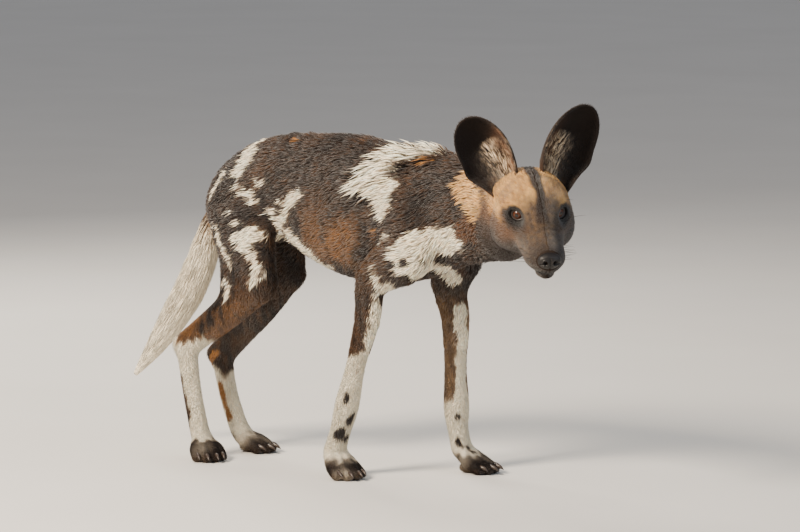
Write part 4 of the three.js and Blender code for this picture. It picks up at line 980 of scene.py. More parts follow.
def coat_lie(points, normals):
    """The way the hair lies at each place, along the surface."""
    x, _, z = points.T
    back = BACK_WAY + smooth_step(x, *NECK_TURN)[:, None] * (NECK_WAY - BACK_WAY)
    lie = back + smooth_step(z, *LEG_TURN)[:, None] * (DOWN_WAY - back)
    lie = lie + smooth_step(z, *FOOT_TURN)[:, None] * (FOOT_WAY - lie)
    q = to_head(points)
    rise = np.where(q[:, 2] > -10, 0.1, -0.35)
    over = np.stack([-np.ones(len(x)), np.sign(q[:, 1]) * 0.25, rise], 1) @ HEAD
    lie = lie + nearness_to_head(points)[:, None] * (over - lie)
    lie = lie - normals * (lie * normals).sum(1, keepdims=True)
    side = np.cross(normals, unit(lie))
    wander = WANDER * ripple(points, *LIE_WIDE) + WANDER_FINE * ripple(points, *LIE_FINE)
    return unit(unit(lie) + side * wander[:, None])


# The unwrap: shares of its side, then the places on the body that they are measured from, in millimetres
CHART_EDGE, CHART_SPAN, CHART_LEGS, CHART_COLUMN = 0.02, 0.44, 0.52, 0.12
CHART_LEG_TOP, CHART_BACK_HEIGHT, CHART_START, CHART_LENGTH = 262, 350, 180, 560
CHART_FORE_RIGHT, CHART_FORE_LEFT, CHART_HIND, CHART_LEG_OUT = 115, 185, -160, 55


def chart(points):
    """A place on an unwrap of the body for each point: trunk, head and legs have their own parts of it."""
    x, y, z = points.T
    q = to_head(points)
    side = (y > 0).astype(float)
    round_trunk = 0.5 + np.arctan2(y, z - CHART_BACK_HEIGHT) / (2 * math.pi)
    along = (x + CHART_START) / CHART_LENGTH
    flat = np.stack([CHART_EDGE + CHART_SPAN * round_trunk, CHART_EDGE + CHART_SPAN * along], 1)
    fore_x = np.where(y > 0, CHART_FORE_LEFT, CHART_FORE_RIGHT)
    middle_x = np.where(x > 0, fore_x, CHART_HIND)
    turn = 0.5 + np.arctan2(y - np.sign(y) * CHART_LEG_OUT, x - middle_x) / (2 * math.pi)
    column = side + 2 * (x > 0)
    up = CHART_LEGS + CHART_SPAN * z / CHART_LEG_TOP
    legs = np.stack([CHART_EDGE + CHART_COLUMN * (turn * 0.96 + column), up], 1)
    flat = np.where((z < CHART_LEG_TOP)[:, None], legs, flat)
    round_head = 0.5 + np.arctan2(q[:, 1], q[:, 2] + 20) / (2 * math.pi)
    face = np.stack([0.5 + CHART_SPAN * round_head, CHART_EDGE + CHART_SPAN * (q[:, 0] + 100) / 200], 1)
    on_head = nearness_to_head(points) > 0.5
    return np.clip(np.where(on_head[:, None], face, flat), 0.004, 0.996)


def scattered(points, faces, amount, draw):
    """Places spread over four-sided faces, so many to each square millimetre."""
    triangles = np.vstack([faces[:, [0, 1, 2]], faces[:, [0, 2, 3]]])
    a, b, c = (points[triangles[:, n]] for n in range(3))
    cross = np.cross(b - a, c - a)
    area = np.linalg.norm(cross, axis=1) / 2
    wanted = area * amount((a + b + c) / 3)
    total = np.cumsum(wanted)
    count = int(total[-1])
    picks = np.searchsorted(total, (np.arange(count) + draw.random(count)) * total[-1] / count)
    picks = np.clip(picks, 0, len(triangles) - 1)
    s, t = draw.random((2, count))
    flip = s + t > 1
    s, t = np.where(flip, 1 - s, s), np.where(flip, 1 - t, t)
    spots = a[picks] + s[:, None] * (b - a)[picks] + t[:, None] * (c - a)[picks]
    return spots, unit(cross[picks]), triangles[picks]


def tuft_mesh(rings, across, up, widths, colours, places_uv):
    """Tufts as joined closed blades: each ring is a flat triangle, and the last one a point."""
    count, steps = rings.shape[0], rings.shape[1]
    points = []
    for n in range(steps - 1):
        half = widths[:, n:n + 1] / 2
        ridge = rings[:, n] + up[:, n] * half * TUFT_THICKNESS
        points += [rings[:, n] + across * half, ridge, rings[:, n] - across * half]
    points.append(rings[:, -1])
    per = len(points)
    points = np.stack(points, 1).reshape(-1, 3)
    pattern = []
    for n in range(steps - 2):
        for k in range(3):
            a, b = 3 * n + k, 3 * n + (k + 1) % 3
            pattern += [(a, b, b + 3), (a, b + 3, a + 3)]
    for k in range(3):
        pattern.append((3 * (steps - 2) + k, 3 * (steps - 2) + (k + 1) % 3, per - 1))
    pattern.append((2, 1, 0))
    pattern = np.array(pattern)
    faces = (pattern[None] + per * np.arange(count)[:, None, None]).reshape(-1, 3)
    # Painted shade and light: each tuft's colour is darkened towards its root and lightened at its tip
    shade = np.append(np.repeat(np.linspace(ROOT_PAINTED_SHADE, 1.0, steps - 1), 3), TIP_PAINTED_LIGHT)
    point_colours = (colours[:, None, :] * shade[None, :, None]).reshape(-1, 3)
    local = np.zeros((per, 2))
    for n in range(steps - 1):
        for k in range(3):
            local[3 * n + k] = ((k - 1) * PATCH / 2 * (1 - n / steps), PATCH * n / steps - PATCH / 2)
    local[-1] = (0, PATCH / 2)
    uv = (places_uv[:, None, :] + local[None]).reshape(-1, 2)
    return points, faces, point_colours, uv


def tuft_width(length):
    """A tuft's width for its length."""
    return TUFT_WIDTH + TUFT_WIDENING * length


def coat_tufts(spots, normals, lie, length, draw, lift):
    """Root, middle and tip of tufts that rise from the skin and bend back to it."""
    count = len(spots)
    length = length * draw.uniform(*LENGTH_RANGE, count)
    width = tuft_width(length) * draw.uniform(*WIDTH_RANGE, count)
    raised = lift * draw.uniform(*LIFT_RANGE, count)
    turned = unit(lie + np.cross(normals, lie) * draw.normal(0, TURN_SPREAD, count)[:, None])
    root = spots - normals * ROOT_SINK
    rise = length * raised
    middle = spots + turned * (length * MIDDLE_RUN)[:, None] + normals * (rise * MIDDLE_RISE)[:, None]
    tip = spots + turned * length[:, None] + normals * (rise * TIP_RISE)[:, None]
    return root, middle, tip, turned, width, raised


def settle(points, heights, field):
    """Points moved out or in to the heights asked for, where they lie below them or far above."""
    near = field(points)
    low = near < heights
    high = near > heights * 1.6 + 1
    move = np.where(low | high, heights - near, 0)
    return points + field_normals(points) * np.clip(move, -SETTLE_MOST, SETTLE_MOST)[:, None]


def cover_field(points):
    """Height over the skin, without the openings of the eyes and mouth."""
    return body_field(points, core_tail) + skin_depth(points)


def keep_clear(spots):
    """Places where hair may grow: not in the eyes, on the nose, in the mouth, on the soles or in the tail."""
    q = to_head(spots)
    keep = spots[:, 2] > SOLE_CLEAR
    for side in (1, -1):
        eye, looks, across, upright = eye_axes(side)
        offset = spots - eye
        reach = np.hypot(offset @ across / EYE_CLEAR[0], offset @ upright / EYE_CLEAR[1])
        keep &= reach + (offset @ looks < 0) * EYE_BEHIND > 1
    in_mouth = (q[:, 0] > MOUTH_CORNER[0] - 2) & (np.abs(q[:, 1]) < 60)
    keep &= ~(in_mouth & (np.abs(q[:, 2] - mouth_height(q[:, 0])) < MOUTH_CLEAR))
    keep &= np.linalg.norm((q - NOSE_AT) / np.array(NOSE_RADII), axis=1) > NOSE_CLEAR
    reach, top, front = TAIL_COVER
    in_tail = (core_tail.distance(spots) < reach) & (spots[:, 2] < top) & (spots[:, 0] < front)
    return keep & ~in_tail


def body_coat(layers):
    """Every tuft of the body and head as a root, its rings, colour and place on the unwrap."""
    points, faces = skin_mesh()
    draw = np.random.default_rng(COAT_SEED)

    def amount(at):
        length = coat_length(at)
        return layers / (length * tuft_width(length))

    spots, normals, _ = scattered(points, faces, amount, draw)
    keep = keep_clear(spots)
    spots, normals = spots[keep], normals[keep]
    normals = unit(normals + 2 * field_normals(spots))
    lie = coat_lie(spots, normals)
    length = coat_length(spots)
    lift = COAT_LIFT + LONG_LIFT * smooth_step(length, *LONG_FROM)
    root, middle, tip, turned, width, raised = coat_tufts(spots, normals, lie, length, draw, lift)
    long = length > SHORT_TUFT
    middle_height, tip_height = (length * raised * share + HEIGHT_LEAST for share in SETTLED_RISE)
    middle[long] = settle(middle[long], middle_height[long], cover_field)
    tip = settle(tip, tip_height, cover_field)
    tip[:, 2] = np.maximum(tip[:, 2], TIP_FLOOR)
    middle[:, 2] = np.maximum(middle[:, 2], MIDDLE_FLOOR)
    colours = body_colours(spots)
    tone = draw.normal(1, TONE_SPREAD, len(spots)).clip(*TONE_RANGE)
    warm = draw.normal(0, WARM_SPREAD, len(spots))
    colours = colours * tone[:, None] * np.stack([1 + warm, np.ones(len(spots)), 1 - warm], 1)
    return dict(
        spots=spots, rings=np.stack([root, middle, tip], 1), up=np.stack([normals, normals], 1),
        across=unit(np.cross(normals, turned)), widths=np.stack([width * ROOT_SLIMMER, width], 1),
        colours=colours, uv=chart(spots), long=long,
    )


def tail_frames(share):
    """Middle, half sizes and the two ways across the tail at shares of its length."""
    rows = smooth_rows([(x, 0, z, half, deep) for x, z, half, deep in TAIL], 4)
    run = np.clip(share, 0, 1) * (len(rows) - 1)
    low = np.clip(run.astype(int), 0, len(rows) - 2)
    t = (run - low)[:, None]
    row = rows[low] + (rows[low + 1] - rows[low]) * t
    along = unit(rows[low + 1][:, :3] - rows[low][:, :3])
    side = np.array([0.0, 1.0, 0.0]) + np.zeros_like(along)
    return row, along, side, np.cross(along, side)


def tail_point(share, turn, out):
    """A place in the brush for a share of its length, an angle round it and a share of its half size."""
    row, _, side, deep = tail_frames(share)
    aside = side * (row[:, 3] * out * np.cos(turn))[:, None]
    return row[:, :3] + aside + deep * (row[:, 4] * out * np.sin(turn))[:, None]


def tail_coat():
    """The brush: long, slim locks that leave the core and bend along to the tip."""
    draw = np.random.default_rng(COAT_SEED + 1)
    count = TAIL_LOCK_COUNT
    start = TAIL_FROM + (TAIL_TO - TAIL_FROM) * draw.random(count)
    turn = draw.uniform(0, 2 * math.pi, count)
    bushy = smooth_step(start, *TAIL_BUSHY)
    reach = (TAIL_SHORT + (TAIL_LOCK_REACH - TAIL_SHORT) * bushy) * draw.uniform(0.7, 1.2, count)
    core = TAIL_ROOT_OUT + (TAIL_CORE_SHARE - 0.1 - TAIL_ROOT_OUT) * bushy
    outer = draw.uniform(0.62, 1.0, count)**0.6
    rings = []
    for run, rise in TAIL_RINGS:
        out = core + (np.maximum(outer, core) - core) * rise * 0.97
        swirl = turn + run * draw.normal(0, TAIL_SWIRL, count)
        rings.append(tail_point(start + reach * run, swirl, out))
    rings = np.stack(rings, 1)
    rim = np.ones(count)
    across = unit(tail_point(start, turn + 0.2, rim) - tail_point(start, turn - 0.2, rim))
    outward = unit(tail_point(start, turn, rim) - tail_frames(start)[0][:, :3])
    up = np.stack([outward] * 3, 1)
    width = (0.9 + 1.1 * bushy) * draw.uniform(0.75, 1.25, count)
    widths = np.stack([width * 0.8, width, width * 0.75], 1)
    colours = body_colours(rings[:, 0]) * draw.normal(1, 0.1, count).clip(0.7, 1.3)[:, None]
    white = smooth_step(start + 0.03 * draw.normal(size=count), 0.1, 0.2)
    colours = mix(colours, PALE, white)
    colours = colours * draw.uniform(0.82, 1.06, count)[:, None]
    uv = np.stack([0.02 + 0.1 * (turn / (2 * math.pi)), 0.46 + 0.05 * start], 1)
    return dict(spots=rings[:, 0], rings=rings, up=up, across=across, widths=widths, colours=colours, uv=uv)


def ear_coat(name):
    """Very short hair over both faces of an ear, and longer pale hair in the lower part of its hollow."""
    ear = ear_mesh(name)
    draw = np.random.default_rng(COAT_SEED + (2 if name == "right" else 3))
    points, faces = ear["points"], ear["faces"]

    def amount(at):
        return np.full(len(at), EAR_LAYERS / (EAR_SPACING * tuft_width(EAR_SPACING)))

    spots, normals, corners = scattered(points, faces, amount, draw)
    along = ear["along"][corners[:, 0]]
    across_share = ear["across"][corners[:, 0]]
    inside = corners[:, 0] < ear["count"]
    axis = unit(EARS[name]["axis"]) @ HEAD
    lie = unit(axis - normals * (normals @ axis)[:, None])
    inner_side = across_share if name == "right" else -across_share
    band = np.exp(-((inner_side - EAR_TUFT_MIDDLE) / EAR_TUFT_SPREAD)**2)
    tuft = inside * smooth_step(along, *EAR_TUFT_TO) * band
    rim = inside * smooth_step(inner_side, 0.8, 0.97) * smooth_step(along, 0.95, 0.5)
    more = (EAR_TUFT_LENGTH * tuft + EAR_RIM_LENGTH * rim) * draw.uniform(0.35, 1.1, len(spots))
    length = EAR_HAIR_LENGTH + more
    lift = EAR_LIFT + EAR_LONG_LIFT * np.maximum(tuft, rim)
    root, middle, tip, turned, width, _ = coat_tufts(spots, normals, lie, length, draw, lift)
    colours = ear_colours(spots, along, across_share, inside, name)
    pale = np.clip(np.maximum(tuft, rim * 0.4) * (0.8 + 0.5 * ripple(spots, *EAR_PALE)), 0, 1)
    colours = mix(colours, EAR_HAIR, pale * (draw.random(len(spots)) < 0.8))
    colours = colours * draw.normal(1, 0.12, len(spots)).clip(0.6, 1.4)[:, None]
    across = unit(np.cross(normals, turned))
    column = 0.2 if name == "left" else 0.0
    uv = np.stack([0.62 + 0.09 * (across_share + 1) + column, 0.5 + 0.2 * along + 0.22 * inside], 1)
    return dict(
        spots=spots, rings=np.stack([root, middle, tip], 1), up=np.stack([normals] * 2, 1), across=across,
        widths=np.stack([width * ROOT_SLIMMER, width], 1), colours=colours, uv=uv, long=length > SHORT_TUFT,
    )


# Blender pieces
def to_frame(points):
    """Places in the body's frame, in millimetres, as places in the model's, in metres."""
    return (np.asarray(points) + SHIFT) / MM


def mesh_object(name, points, faces, colours=None, uv=None, material=None, smooth=True):
    """A mesh object out of arrays in the body's frame."""
    mesh = bpy.data.meshes.new(name)
    points = to_frame(points).astype(np.float32)
    faces = np.asarray(faces, np.int32)
    sides = faces.shape[1]
    mesh.vertices.add(len(points))
    mesh.vertices.foreach_set("co", points.ravel())
    mesh.loops.add(faces.size)
    mesh.loops.foreach_set("vertex_index", faces.ravel())
    mesh.polygons.add(len(faces))
    mesh.polygons.foreach_set("loop_start", np.arange(0, faces.size, sides, dtype=np.int32))
    mesh.polygons.foreach_set("use_smooth", np.full(len(faces), smooth))
    mesh.update(calc_edges=True)
    if colours is not None:
        layer = mesh.color_attributes.new("coat_colour", "FLOAT_COLOR", "POINT")
        rgba = np.ones((len(points), 4), np.float32)
        rgba[:, :3] = np.clip(colours, 0, 1)
        layer.data.foreach_set("color", rgba.ravel())
    if uv is not None:
        layer = mesh.uv_layers.new(name="OFBake")
        layer.data.foreach_set("uv", uv[faces.ravel()].astype(np.float32).ravel())
    if material:
        mesh.materials.append(material)
    mesh.validate()
    obj = bpy.data.objects.new(name, mesh)
    bpy.context.scene.collection.objects.link(obj)
    return obj


def placed(obj, slot, *nodes):
    """A piece tied to the model's body, with the nodes that it stands for hidden; the finish is not used."""
    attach(obj, "root")
    if nodes:
        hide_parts(*nodes)
    return obj


def new_material(name):
    """A fresh material with its nodes, its links and its principled shader."""
    material = bpy.data.materials.new(name)
    material.use_nodes = True
    nodes, links = material.node_tree.nodes, material.node_tree.links
    shader = next(node for node in nodes if node.type == "BSDF_PRINCIPLED")
    return material, nodes, links, shader


def texture(nodes, links, kind, scale):
    """A texture that follows the object's own places."""
    place = nodes.new("ShaderNodeTexCoord")
    pattern = nodes.new(kind)
    pattern.inputs["Scale"].default_value = scale
    links.new(place.outputs["Object"], pattern.inputs["Vector"])
    return pattern


def add_bump(nodes, links, shader, height, strength, distance, invert=False):
    """Small raised detail from a texture's value, with its depth in metres."""
    bump = nodes.new("ShaderNodeBump")
    bump.invert = invert
    bump.inputs["Strength"].default_value = strength
    bump.inputs["Distance"].default_value = distance
    links.new(height, bump.inputs["Height"])
    links.new(bump.outputs["Normal"], shader.inputs["Normal"])


def carried_colour(nodes):
    """The colour that a mesh carries."""
    colour = nodes.new("ShaderNodeAttribute")
    colour.attribute_name = "coat_colour"
    return colour.outputs["Color"]


def coat_material(name, roughness, sheen, grain, bump):
    """Fur: the colour it carries, broken by fine streaks, with a soft bump."""
    material, nodes, links, shader = new_material(name)
    noise = texture(nodes, links, "ShaderNodeTexNoise", grain)
    noise.inputs["Detail"].default_value = 3.0
    tone = nodes.new("ShaderNodeMapRange")
    tone.inputs["To Min"].default_value = 0.78
    tone.inputs["To Max"].default_value = 1.22
    links.new(noise.outputs["Fac"], tone.inputs["Value"])
    scale = nodes.new("ShaderNodeVectorMath")
    scale.operation = "SCALE"
    links.new(carried_colour(nodes), scale.inputs[0])
    links.new(tone.outputs["Result"], scale.inputs["Scale"])
    links.new(scale.outputs["Vector"], shader.inputs["Base Color"])
    shader.inputs["Roughness"].default_value = roughness
    shader.inputs["Specular IOR Level"].default_value = 0.16
    shader.inputs["Sheen Weight"].default_value = sheen
    shader.inputs["Sheen Roughness"].default_value = 0.5
    if bump:
        add_bump(nodes, links, shader, noise.outputs["Fac"], bump, 0.0006)
    return material


def speckled_material(name, colours, scale, roughness, bump=None, cells=False):
    """A surface whose colour wanders between two along a fine pattern, raised by it where asked."""
    material, nodes, links, shader = new_material(name)
    pattern = texture(nodes, links, "ShaderNodeTexVoronoi" if cells else "ShaderNodeTexNoise", scale)
    value = pattern.outputs["Distance" if cells else "Fac"]
    ramp = nodes.new("ShaderNodeValToRGB")
    for element, colour in zip(ramp.color_ramp.elements, colours):
        element.color = (*colour, 1)
    links.new(value, ramp.inputs["Fac"])
    links.new(ramp.outputs["Color"], shader.inputs["Base Color"])
    if bump:
        add_bump(nodes, links, shader, value, *bump, invert=cells)
    shader.inputs["Roughness"].default_value = roughness
    return material


def eye_material():
    """A dark brown iris with a black pupil under a wet, clear coat."""
    material, nodes, links, shader = new_material("wet_eye")
    links.new(carried_colour(nodes), shader.inputs["Base Color"])
    shader.inputs["Roughness"].default_value = 0.4
    shader.inputs["Specular IOR Level"].default_value = 0.1
    shader.inputs["Coat Weight"].default_value = 0.7
    shader.inputs["Coat Roughness"].default_value = 0.02
    return material


def nose_material():
    """Moist black leather with small raised cells."""
    colours = map(linear, NOSE_COLOURS)
    material = speckled_material("nose_leather", colours, 900.0, 0.44, (0.55, 0.0004), cells=True)
    shader = next(node for node in material.node_tree.nodes if node.type == "BSDF_PRINCIPLED")
    shader.inputs["Specular IOR Level"].default_value = 0.35
    return material


@functools.cache
def materials():
    """Every material of the model, made once."""
    return {
        "skin": coat_material("short_fur_skin", 0.8, 0.0, 900.0, 0.6),
        "coat": coat_material("coat_tufts", 0.72, 0.15, 260.0, 0.0),
        "eye": eye_material(),
        "nose": nose_material(),
        "claw": speckled_material("claw_horn", map(linear, CLAW_COLOURS), 420.0, 0.38),
        "lid": speckled_material("lid_skin", map(linear, LID_COLOURS), 700.0, 0.5, (0.4, 0.0003)),
    }


def joined(parts):
    """Several meshes, each a pair of corners and faces, as one."""
    starts = np.cumsum([0] + [len(points) for points, _ in parts])
    faces = [faces + start for (_, faces), start in zip(parts, starts)]
    return np.vstack([points for points, _ in parts]), np.vstack(faces)


def ring_faces(rings, corners):
    """Four-sided faces between rings of corners, closed round each ring."""
    at = np.arange(rings * corners).reshape(rings, corners)
    after = np.roll(at, -1, axis=1)
    return np.stack([at[:-1], at[1:], after[1:], after[:-1]], -1).reshape(-1, 4)


def full_turn(corners):
    """Evenly spaced angles round a ring."""
    return np.arange(corners) * 2 * math.pi / corners


def make_skin():
    """One skin with both ears, for every node of flesh."""
    points, faces = skin_mesh()
    # Painted shade: the skin takes the coat's colours, darkened for the shade under the hair
    parts, colours = [(points, faces)], [body_colours(points) * SKIN_PAINTED_SHADE]
    for name in ("right", "left"):
        ear = ear_mesh(name)
        inside = np.arange(len(ear["points"])) < ear["count"]
        parts.append((ear["points"], ear["faces"]))
        ear_colour = ear_colours(ear["points"], ear["along"], ear["across"], inside, name)
        # Painted shade: the ears' skin is darkened under their hair
        colours.append(ear_colour * EAR_SKIN_PAINTED_SHADE)
    obj = mesh_object("skin", *joined(parts), np.vstack(colours), material=materials()["skin"])
    sides = ("right", "left")
    nodes = ["torso", "neck", "head", "tail", *(f"ear_{s}" for s in sides)]
    nodes += [f"{part}_{s}" for part in ("foreleg", "hindleg", "forepaw", "hindpaw") for s in sides]
    return placed(obj, "dark_coat", *nodes)


def make_coat(layers):
    """The coat's pieces, each with few enough tufts."""
    coat = body_coat(layers)
    spots = coat["spots"]
    leg = np.where(spots[:, 0] > 0, 2, 3)
    part = np.where(spots[:, 2] < LEGS_BELOW, leg, np.where(spots[:, 0] > NECK_AHEAD_OF, 1, 0))
    part = np.where(nearness_to_head(spots) > 0.5, 4, part)
    for n, (name, slot) in enumerate(COAT_PARTS):
        rows = np.flatnonzero(part == n)
        side = to_head(spots)[:, 1] if name == "head" else spots[:, 1]
        rows = rows[np.argsort(side[rows], kind="stable")]
        for kind, most in (("long", LONG_IN_PIECE), ("short", SHORT_IN_PIECE)):
            chosen = rows[coat["long"][rows] == (kind == "long")]
            if len(chosen) == 0:
                continue
            for i, some in enumerate(np.array_split(chosen, math.ceil(len(chosen) / most))):
                coat_piece(f"coat_{name}_{kind}_{i + 1}", coat, some, slot)
    tail = tail_coat()
    coat_piece("coat_tail", tail, np.arange(len(tail["spots"])), "pale_coat")
    for name in ("right", "left"):
        ear = ear_coat(name)
        for kind in ("long", "short"):
            rows = np.flatnonzero(ear["long"] == (kind == "long"))
            coat_piece(f"coat_ear_{name}_{kind}", ear, rows, "ear_coat")


def coat_piece(name, coat, rows, slot):
    """Some of a coat's tufts as one object: short ones have no ring between root and tip."""
    rings, widths = coat["rings"][rows], coat["widths"][rows]
    if "short" in name:
        rings, widths = rings[:, [0, -1]], widths[:, -1:]
    points, faces, colours, uv = tuft_mesh(
        rings, coat["across"][rows], coat["up"][rows], widths, coat["colours"][rows], coat["uv"][rows],
    )
    obj = mesh_object(name, points, faces, colours, uv, materials()["coat"])
    return placed(obj, slot)


def sphere(rows, columns):
    """Ways out over a ball about its own first axis, with four-sided faces."""
    tilt = np.linspace(0.001, math.pi - 0.001, rows)[:, None]
    turn = full_turn(columns)[None]
    ways = np.stack([np.cos(tilt) + 0 * turn, np.sin(tilt) * np.cos(turn), np.sin(tilt) * np.sin(turn)], -1)
    return ways.reshape(-1, 3), ring_faces(rows, columns)


def make_eye(name, side):
    """An eyeball with a raised cornea, its colours in rings about the way it looks."""
    ways, faces = sphere(EYE_ROWS, EYE_COLUMNS)
    eye, looks, across, upright = eye_axes(side)
    away = np.hypot(ways[:, 1], ways[:, 2]) * EYE_RADIUS
    front = ways[:, 0] > 0
    dome = np.clip(1 - (away / (IRIS_RADIUS + CORNEA_MARGIN))**2, 0, None)
    dome = np.where(front, CORNEA_RISE * dome, 0)
    points = eye + ((EYE_RADIUS + dome)[:, None] * ways) @ np.stack([looks, across, upright])
    turn = np.arctan2(ways[:, 2], ways[:, 1])
    streak = 0.5 + 0.5 * np.sin(turn * 37 + 2 * np.sin(turn * 11)) * np.sin(away * 2.2)
    iris = mix(plain(len(points), IRIS_LIGHT), IRIS_DARK, streak)
    rim = plain(len(points), EYE_RIM)
    share = smooth_step(away, IRIS_RADIUS + IRIS_EDGE, IRIS_RADIUS - IRIS_EDGE) * front
    colours = rim + (iris - rim) * share[:, None]
    ring = smooth_step(np.abs(away - IRIS_RADIUS), *IRIS_RING) * front
    colours = colours * (1 - RING_SHARE * ring)[:, None]
    pupil = smooth_step(away, PUPIL_RADIUS + PUPIL_EDGE, PUPIL_RADIUS - PUPIL_EDGE) * front
    colours = colours * (1 - pupil)[:, None] + linear(PUPIL) * pupil[:, None]
    obj = mesh_object(f"eyeball_{name}", points, faces, colours, material=materials()["eye"])
    return placed(obj, "eye", f"eye_{name}")


def make_lids():
    """The rims of all four lids, with a fold outside each."""
    parts = []
    turn = full_turn(LID_CORNERS)
    almond = np.abs(np.sin(turn))**LID_SHARPNESS * np.sign(np.sin(turn))
    almond = almond * np.where(np.sin(turn) > 0, 1.0, LOWER_LID_SHARE)
    faces = ring_faces(len(LID_SECTION), LID_CORNERS)
    for side in (1, -1):
        eye, looks, across, upright = eye_axes(side)
        rings = []
        for share, height in LID_SECTION:
            a = FISSURE_LENGTH * share * LID_SPREAD * np.cos(turn)
            b = FISSURE_HEIGHT * share * LID_SPREAD * almond
            way = unit(looks * EYE_RADIUS + a[:, None] * across + b[:, None] * upright)
            rings.append(eye + way * (EYE_RADIUS + height))
        parts.append((np.concatenate(rings), faces if side > 0 else faces[:, ::-1]))
    obj = mesh_object("eyelids", *joined(parts), material=materials()["lid"])
    return placed(obj, "dark_coat")


def make_nose():
    """The nose pad with comma-shaped nostrils and a groove down its middle."""
    ways, faces = sphere(NOSE_ROWS, NOSE_COLUMNS)
    forward, _, up = ways.T
    flat = 1 - 0.1 * smooth_step(forward, 0.5, 0.95)
    drop = 1 - 0.12 * smooth_step(up, 0.2, 0.9)
    local = ways * np.array(NOSE_RADII) * np.stack([flat, np.ones(len(ways)), drop], 1)
    groove = np.exp(-(local[:, 1] / GROOVE_HALF)**2)
    groove = groove * smooth_step(forward, 0.1, 0.5) * smooth_step(up, 0.7, 0.3)
    local -= ways * (groove * GROOVE_DEPTH)[:, None]
    for side in (1, -1):
        hole = np.linalg.norm((local - mirrored(NOSTRIL_AT, side)) / NOSTRIL_RADII, axis=1)
        slit = line_distance(local, [mirrored(place, side) for place in NOSTRIL_SLIT])
        deep = smooth_step(hole, 1.0, 0.55) * NOSTRIL_DEPTH
        sunk = np.maximum(deep, smooth_step(slit, 1.9, 0.7) * SLIT_DEPTH)
        rim = np.exp(-((hole - 1.25) / 0.22)**2) * NOSTRIL_RIM
        local -= ways * (sunk - rim * (sunk < 0.5))[:, None]
    points = in_head(0, 0, 0) + (local + NOSE_AT) @ HEAD
    obj = mesh_object("nose_pad", points, faces, material=materials()["nose"])
    return placed(obj, "nose_leather", "nose")


def claw_mesh(root, forward, left):
    """One claw from its root: a bent, tapering horn of three-sided faces."""
    turn = full_turn(CLAW_CORNERS)
    rings = []
    for run, drop, thick in CLAW_SHAPE:
        middle = root + forward * run * CLAW_LENGTH - np.array([0, 0, drop * CLAW_LENGTH])
        deep = np.array([0, 0, CLAW_DEEPER * thick])
        rings.append(middle + left * thick * np.cos(turn)[:, None] + deep * np.sin(turn)[:, None])
    points = np.vstack([*rings, root[None], (rings[-1].mean(0) + forward * CLAW_POINT)[None]])
    quads = ring_faces(len(rings), CLAW_CORNERS)[:, [0, 3, 2, 1]]
    first = np.arange(CLAW_CORNERS)
    last = first + (len(rings) - 1) * CLAW_CORNERS
    base = np.full(CLAW_CORNERS, len(points) - 2)
    ends = [np.stack([base, np.roll(first, -1), first], 1), np.stack([base + 1, last, np.roll(last, -1)], 1)]
    return points, np.vstack([quads[:, [0, 1, 2]], quads[:, [0, 2, 3]], *ends])


def make_claws():
    """Sixteen claws, one at the tip of each toe."""
    parts = []
    for leg in (*forelegs.values(), *hindlegs.values()):
        paw = leg["paw"]
        for tip, radius in paw["tips"]:
            root = tip + paw["forward"] * (radius - CLAW_SINK) + (0, 0, CLAW_RISE)
            parts.append(claw_mesh(root, paw["forward"], paw["left"]))
    obj = mesh_object("claws", *joined(parts), material=materials()["claw"])
    return placed(obj, "nose_leather")


def make_whiskers():
    """Dark, tapering whiskers on the lips, brows and cheeks."""
    draw = np.random.default_rng(COAT_SEED + 9)
    turn = full_turn(WHISKER_CORNERS)
    at = np.arange(WHISKER_RINGS * WHISKER_CORNERS).reshape(WHISKER_RINGS, WHISKER_CORNERS)
    quads = ring_faces(WHISKER_RINGS, WHISKER_CORNERS)[:, [0, 3, 2, 1]]
    faces = np.vstack([quads, at[0, ::-1], at[-1]])
    parts = []
    for place in WHISKER_ROOTS:
        for side in (1, -1):
            root = in_head(*mirrored(place, side))
            root = settle(root[None], np.array([-WHISKER_SINK]), cover_field)[0]
            way = unit(np.array([-0.35, side * 0.8, draw.uniform(-0.35, 0.15)])) @ HEAD
            out = field_normals(root[None])[0]
            length = bpy.context.scene.wilddog.whisker_length * MM * draw.uniform(0.6, 1.0)
            side_way = unit(np.cross(way, HEAD[0]))
            third = np.cross(way, side_way)
            rings = []
            for t in np.linspace(0, 1, WHISKER_RINGS):
                sag = np.array([0, 0, WHISKER_SAG]) * t * t
                middle = root + (out * (1 - t) * 0.5 + way) * length * t - sag
                ring = np.cos(turn)[:, None] * side_way + np.sin(turn)[:, None] * third
                rings.append(middle + WHISKER_RADIUS * (1 - 0.9 * t) * ring)
            parts.append((np.vstack(rings), faces))
    obj = mesh_object("whiskers", *joined(parts), material=materials()["claw"])
    return placed(obj, "dark_coat")


def look_from(obj, side, up, back, place):
    """Stand a camera or light at a place in metres. It looks the opposite way to its back."""
    basis = np.eye(4)
    basis[:3, 0], basis[:3, 1], basis[:3, 2], basis[:3, 3] = side, up, back, place
    obj.matrix_world = Matrix(basis.tolist())


